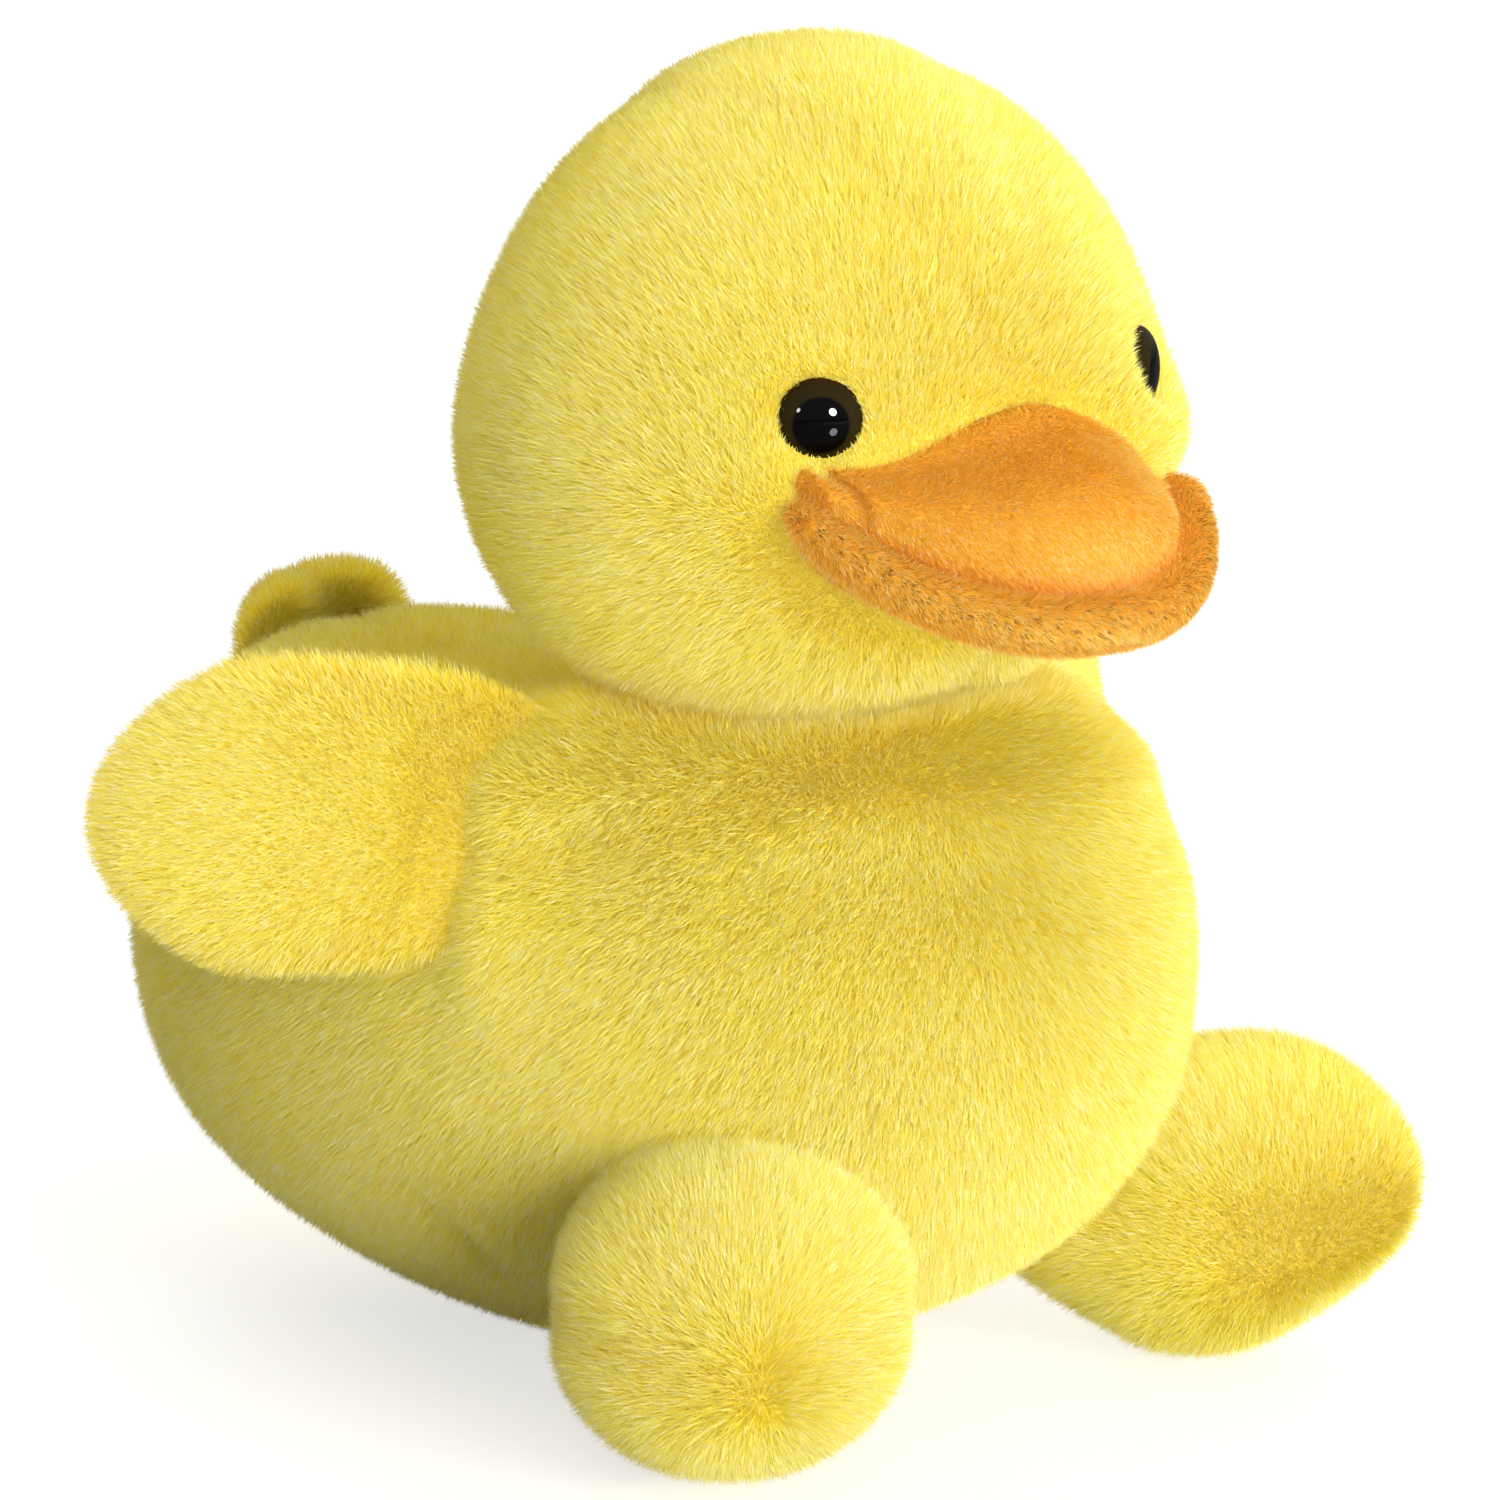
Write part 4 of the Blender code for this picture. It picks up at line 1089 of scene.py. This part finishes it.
def make_eye(side, gloss):
    """A round glossy dome with a turned-in rim, where the CAD eye stands."""
    front, way, across = eye_place(side)
    front = front - way * 1.2e-3
    up = np.array([0, 0, 1.0])
    radius, high, segments = 6.05e-3, 3.4e-3, 64
    profile = [(radius * math.sin(a), high * (math.cos(a) - 1)) for a in np.linspace(0.05, math.pi / 2, 22)]
    profile += [(radius * 1.0, -high - 0.5e-3), (radius * 0.97, -high - 0.9e-3), (radius * 0.85, -high - 1.1e-3)]
    points, outs = [front], [0.0]
    for wide, deep in profile:
        for number in range(segments):
            turn = 2 * math.pi * number / segments
            points.append(front + way * deep + (across * math.cos(turn) + up * math.sin(turn)) * wide)
            outs.append(wide / radius)
    points.append(front + way * (-high - 1.1e-3))
    outs.append(0.0)
    faces = []
    for number in range(segments):
        after = (number + 1) % segments
        faces.append((0, 1 + number, 1 + after))
        for ring in range(len(profile) - 1):
            low, top = 1 + ring * segments, 1 + (ring + 1) * segments
            faces.append((low + number, top + number, top + after, low + after))
        last = 1 + (len(profile) - 1) * segments
        faces.append((last + number, len(points) - 1, last + after))
    eye = mesh_object(f"eye_dome_{side}", points, faces)
    faces_outward(eye.data)
    smooth_shaded(eye.data)
    number_at(eye.data, "out", outs)
    eye.data.materials.append(gloss)
    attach(eye, "head")
    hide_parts(f"eye_{side}")


def make_eyes():
    gloss = eye_material()
    washer = moulded("washer_plastic_white", colour(236, 236, 230), 0.45)
    for side in SIDES:
        make_eye(side, gloss)
        CAD[f"eye_washer_{side}"].data.materials.clear()
        CAD[f"eye_washer_{side}"].data.materials.append(washer)


# ---------------------------------------------------------------- floor, light and camera

def make_floor():
    """A pale floor that glows white to the camera and keeps the duck's shadow."""
    material, recipe = new_material("pale_floor")
    camera = recipe.make("ShaderNodeLightPath")["Is Camera Ray"]
    lit = recipe.make("ShaderNodeBsdfDiffuse", {}, {"Color": (0.86, 0.86, 0.86, 1)})[0]
    glow = recipe.make("ShaderNodeEmission", {}, {"Color": (1, 1, 1, 1), "Strength": 2.6})[0]
    both = recipe.make("ShaderNodeMixShader", {}, {0: camera * 0.25, 1: lit, 2: glow})[0]
    recipe.make("ShaderNodeOutputMaterial", {}, {"Surface": both})
    reach = 12.0
    corners = [(-reach, -reach, 0), (reach, -reach, 0), (reach, reach, 0), (-reach, reach, 0)]
    floor = mesh_object("floor", corners, [(0, 1, 2, 3)])
    floor.data.materials.append(material)


def make_world():
    """Soft light from all round, weaker and warmer from the duck's right, and a white background."""
    world = bpy.data.worlds.new("studio")
    world.use_nodes = True
    world.node_tree.nodes.clear()
    recipe = Recipe(world.node_tree)
    seen = recipe.make("ShaderNodeLightPath")
    most = {"operation": "MAXIMUM"}
    shown = recipe.make("ShaderNodeMath", most, {0: seen["Is Camera Ray"], 1: seen["Is Glossy Ray"]})[0]
    shown = recipe.make("ShaderNodeMath", most, {0: shown, 1: seen["Is Transmission Ray"]})[0]
    way = recipe.make("ShaderNodeSeparateXYZ", {}, {0: recipe.make("ShaderNodeTexCoord")["Generated"]})
    shaded = (0 - way["X"]).smooth(0.0, 0.9)
    strength = 0.63 - shaded * 0.38 - way["X"].smooth(0.2, 1.0) * 0.3
    tint = recipe.mix(shaded, (0.97, 0.99, 1.0, 1), (1.0, 0.93, 0.76, 1))
    plain = recipe.make("ShaderNodeBackground", {}, {"Color": tint, "Strength": strength})[0]
    white = recipe.make("ShaderNodeBackground", {}, {"Color": (1, 1, 1, 1), "Strength": 1.0})[0]
    both = recipe.make("ShaderNodeMixShader", {}, {0: shown, 1: plain, 2: white})[0]
    recipe.make("ShaderNodeOutputWorld", {}, {"Surface": both})
    bpy.context.scene.world = world


def lamp(name, place, size, power, only_gloss=False):
    """A round lamp turned to the duck. One that is only for gloss is seen in the eyes and lights nothing."""
    data = bpy.data.lights.new(name, "AREA")
    data.shape = "DISK"
    data.size = size
    data.energy = power
    made = bpy.data.objects.new(name, data)
    made.location = place
    made.rotation_euler = (Vector(VIEW_TARGET) - Vector(place)).to_track_quat("-Z", "Y").to_euler()
    made.visible_diffuse = not only_gloss
    made.visible_glossy = only_gloss
    made.visible_camera = False
    bpy.context.scene.collection.objects.link(made)


def make_camera():
    """The camera where the photograph was taken from."""
    azimuth, elevation = math.radians(VIEW_AZIMUTH), math.radians(VIEW_ELEVATION)
    level = math.cos(elevation)
    back = Vector((math.sin(azimuth) * level, -math.cos(azimuth) * level, math.sin(elevation)))
    camera = bpy.data.objects.new("camera", bpy.data.cameras.new("camera"))
    camera.data.lens = VIEW_LENS
    camera.data.sensor_width = SENSOR
    camera.location = Vector(VIEW_TARGET) + back * VIEW_DISTANCE
    camera.rotation_euler = (-back).to_track_quat("-Z", "Y").to_euler()
    bpy.context.scene.collection.objects.link(camera)
    bpy.context.scene.camera = camera


# ---------------------------------------------------------------- the duck in its studio

# deep is the colour of the shade painted into creases, seams and the bill's groove
YELLOW = pile_material(
    "yellow_plush_pile", root=colour(252, 226, 54), middle=colour(255, 243, 92), tip=colour(255, 251, 164),
    patch=colour(255, 243, 80), deep=colour(236, 178, 20),
)
ORANGE = pile_material(
    "orange_plush_pile", root=colour(250, 184, 34), middle=colour(255, 206, 58), tip=colour(255, 230, 126),
    patch=colour(255, 204, 50), deep=colour(244, 140, 18), fleck=0.12,
)
YELLOW_BACKING = backing_material("yellow_plush_backing", colour(252, 232, 84))
ORANGE_BACKING = backing_material("orange_plush_backing", colour(250, 186, 56))
STRAND = strand_shape()
PILE = strand_tree()

bill_skin = make_bill()
make_body()
make_head(bill_skin)
for side, sign in SIDES.items():
    make_wing(side, sign)
    make_foot(side, sign)
make_tail()
make_eyes()
bpy.data.objects.remove(STRAND)

make_floor()
make_world()
lamp("key", (-0.18, -1.72, 0.24), 1.3, 34.5)
lamp("back_fill", (1.15, 1.25, 0.5), 1.2, 14.0)
lamp("catch_light", (-0.44, -1.62, 0.45), 0.36, 100.0, only_gloss=True)
lamp("side_catch_light", (-1.42, -0.47, 0.54), 0.2, 14.0, only_gloss=True)
lamp("low_catch_light", (-0.085, -0.285, 0.062), 0.05, 0.25, only_gloss=True)
make_camera()
bpy.context.scene.view_settings.view_transform = "Standard"
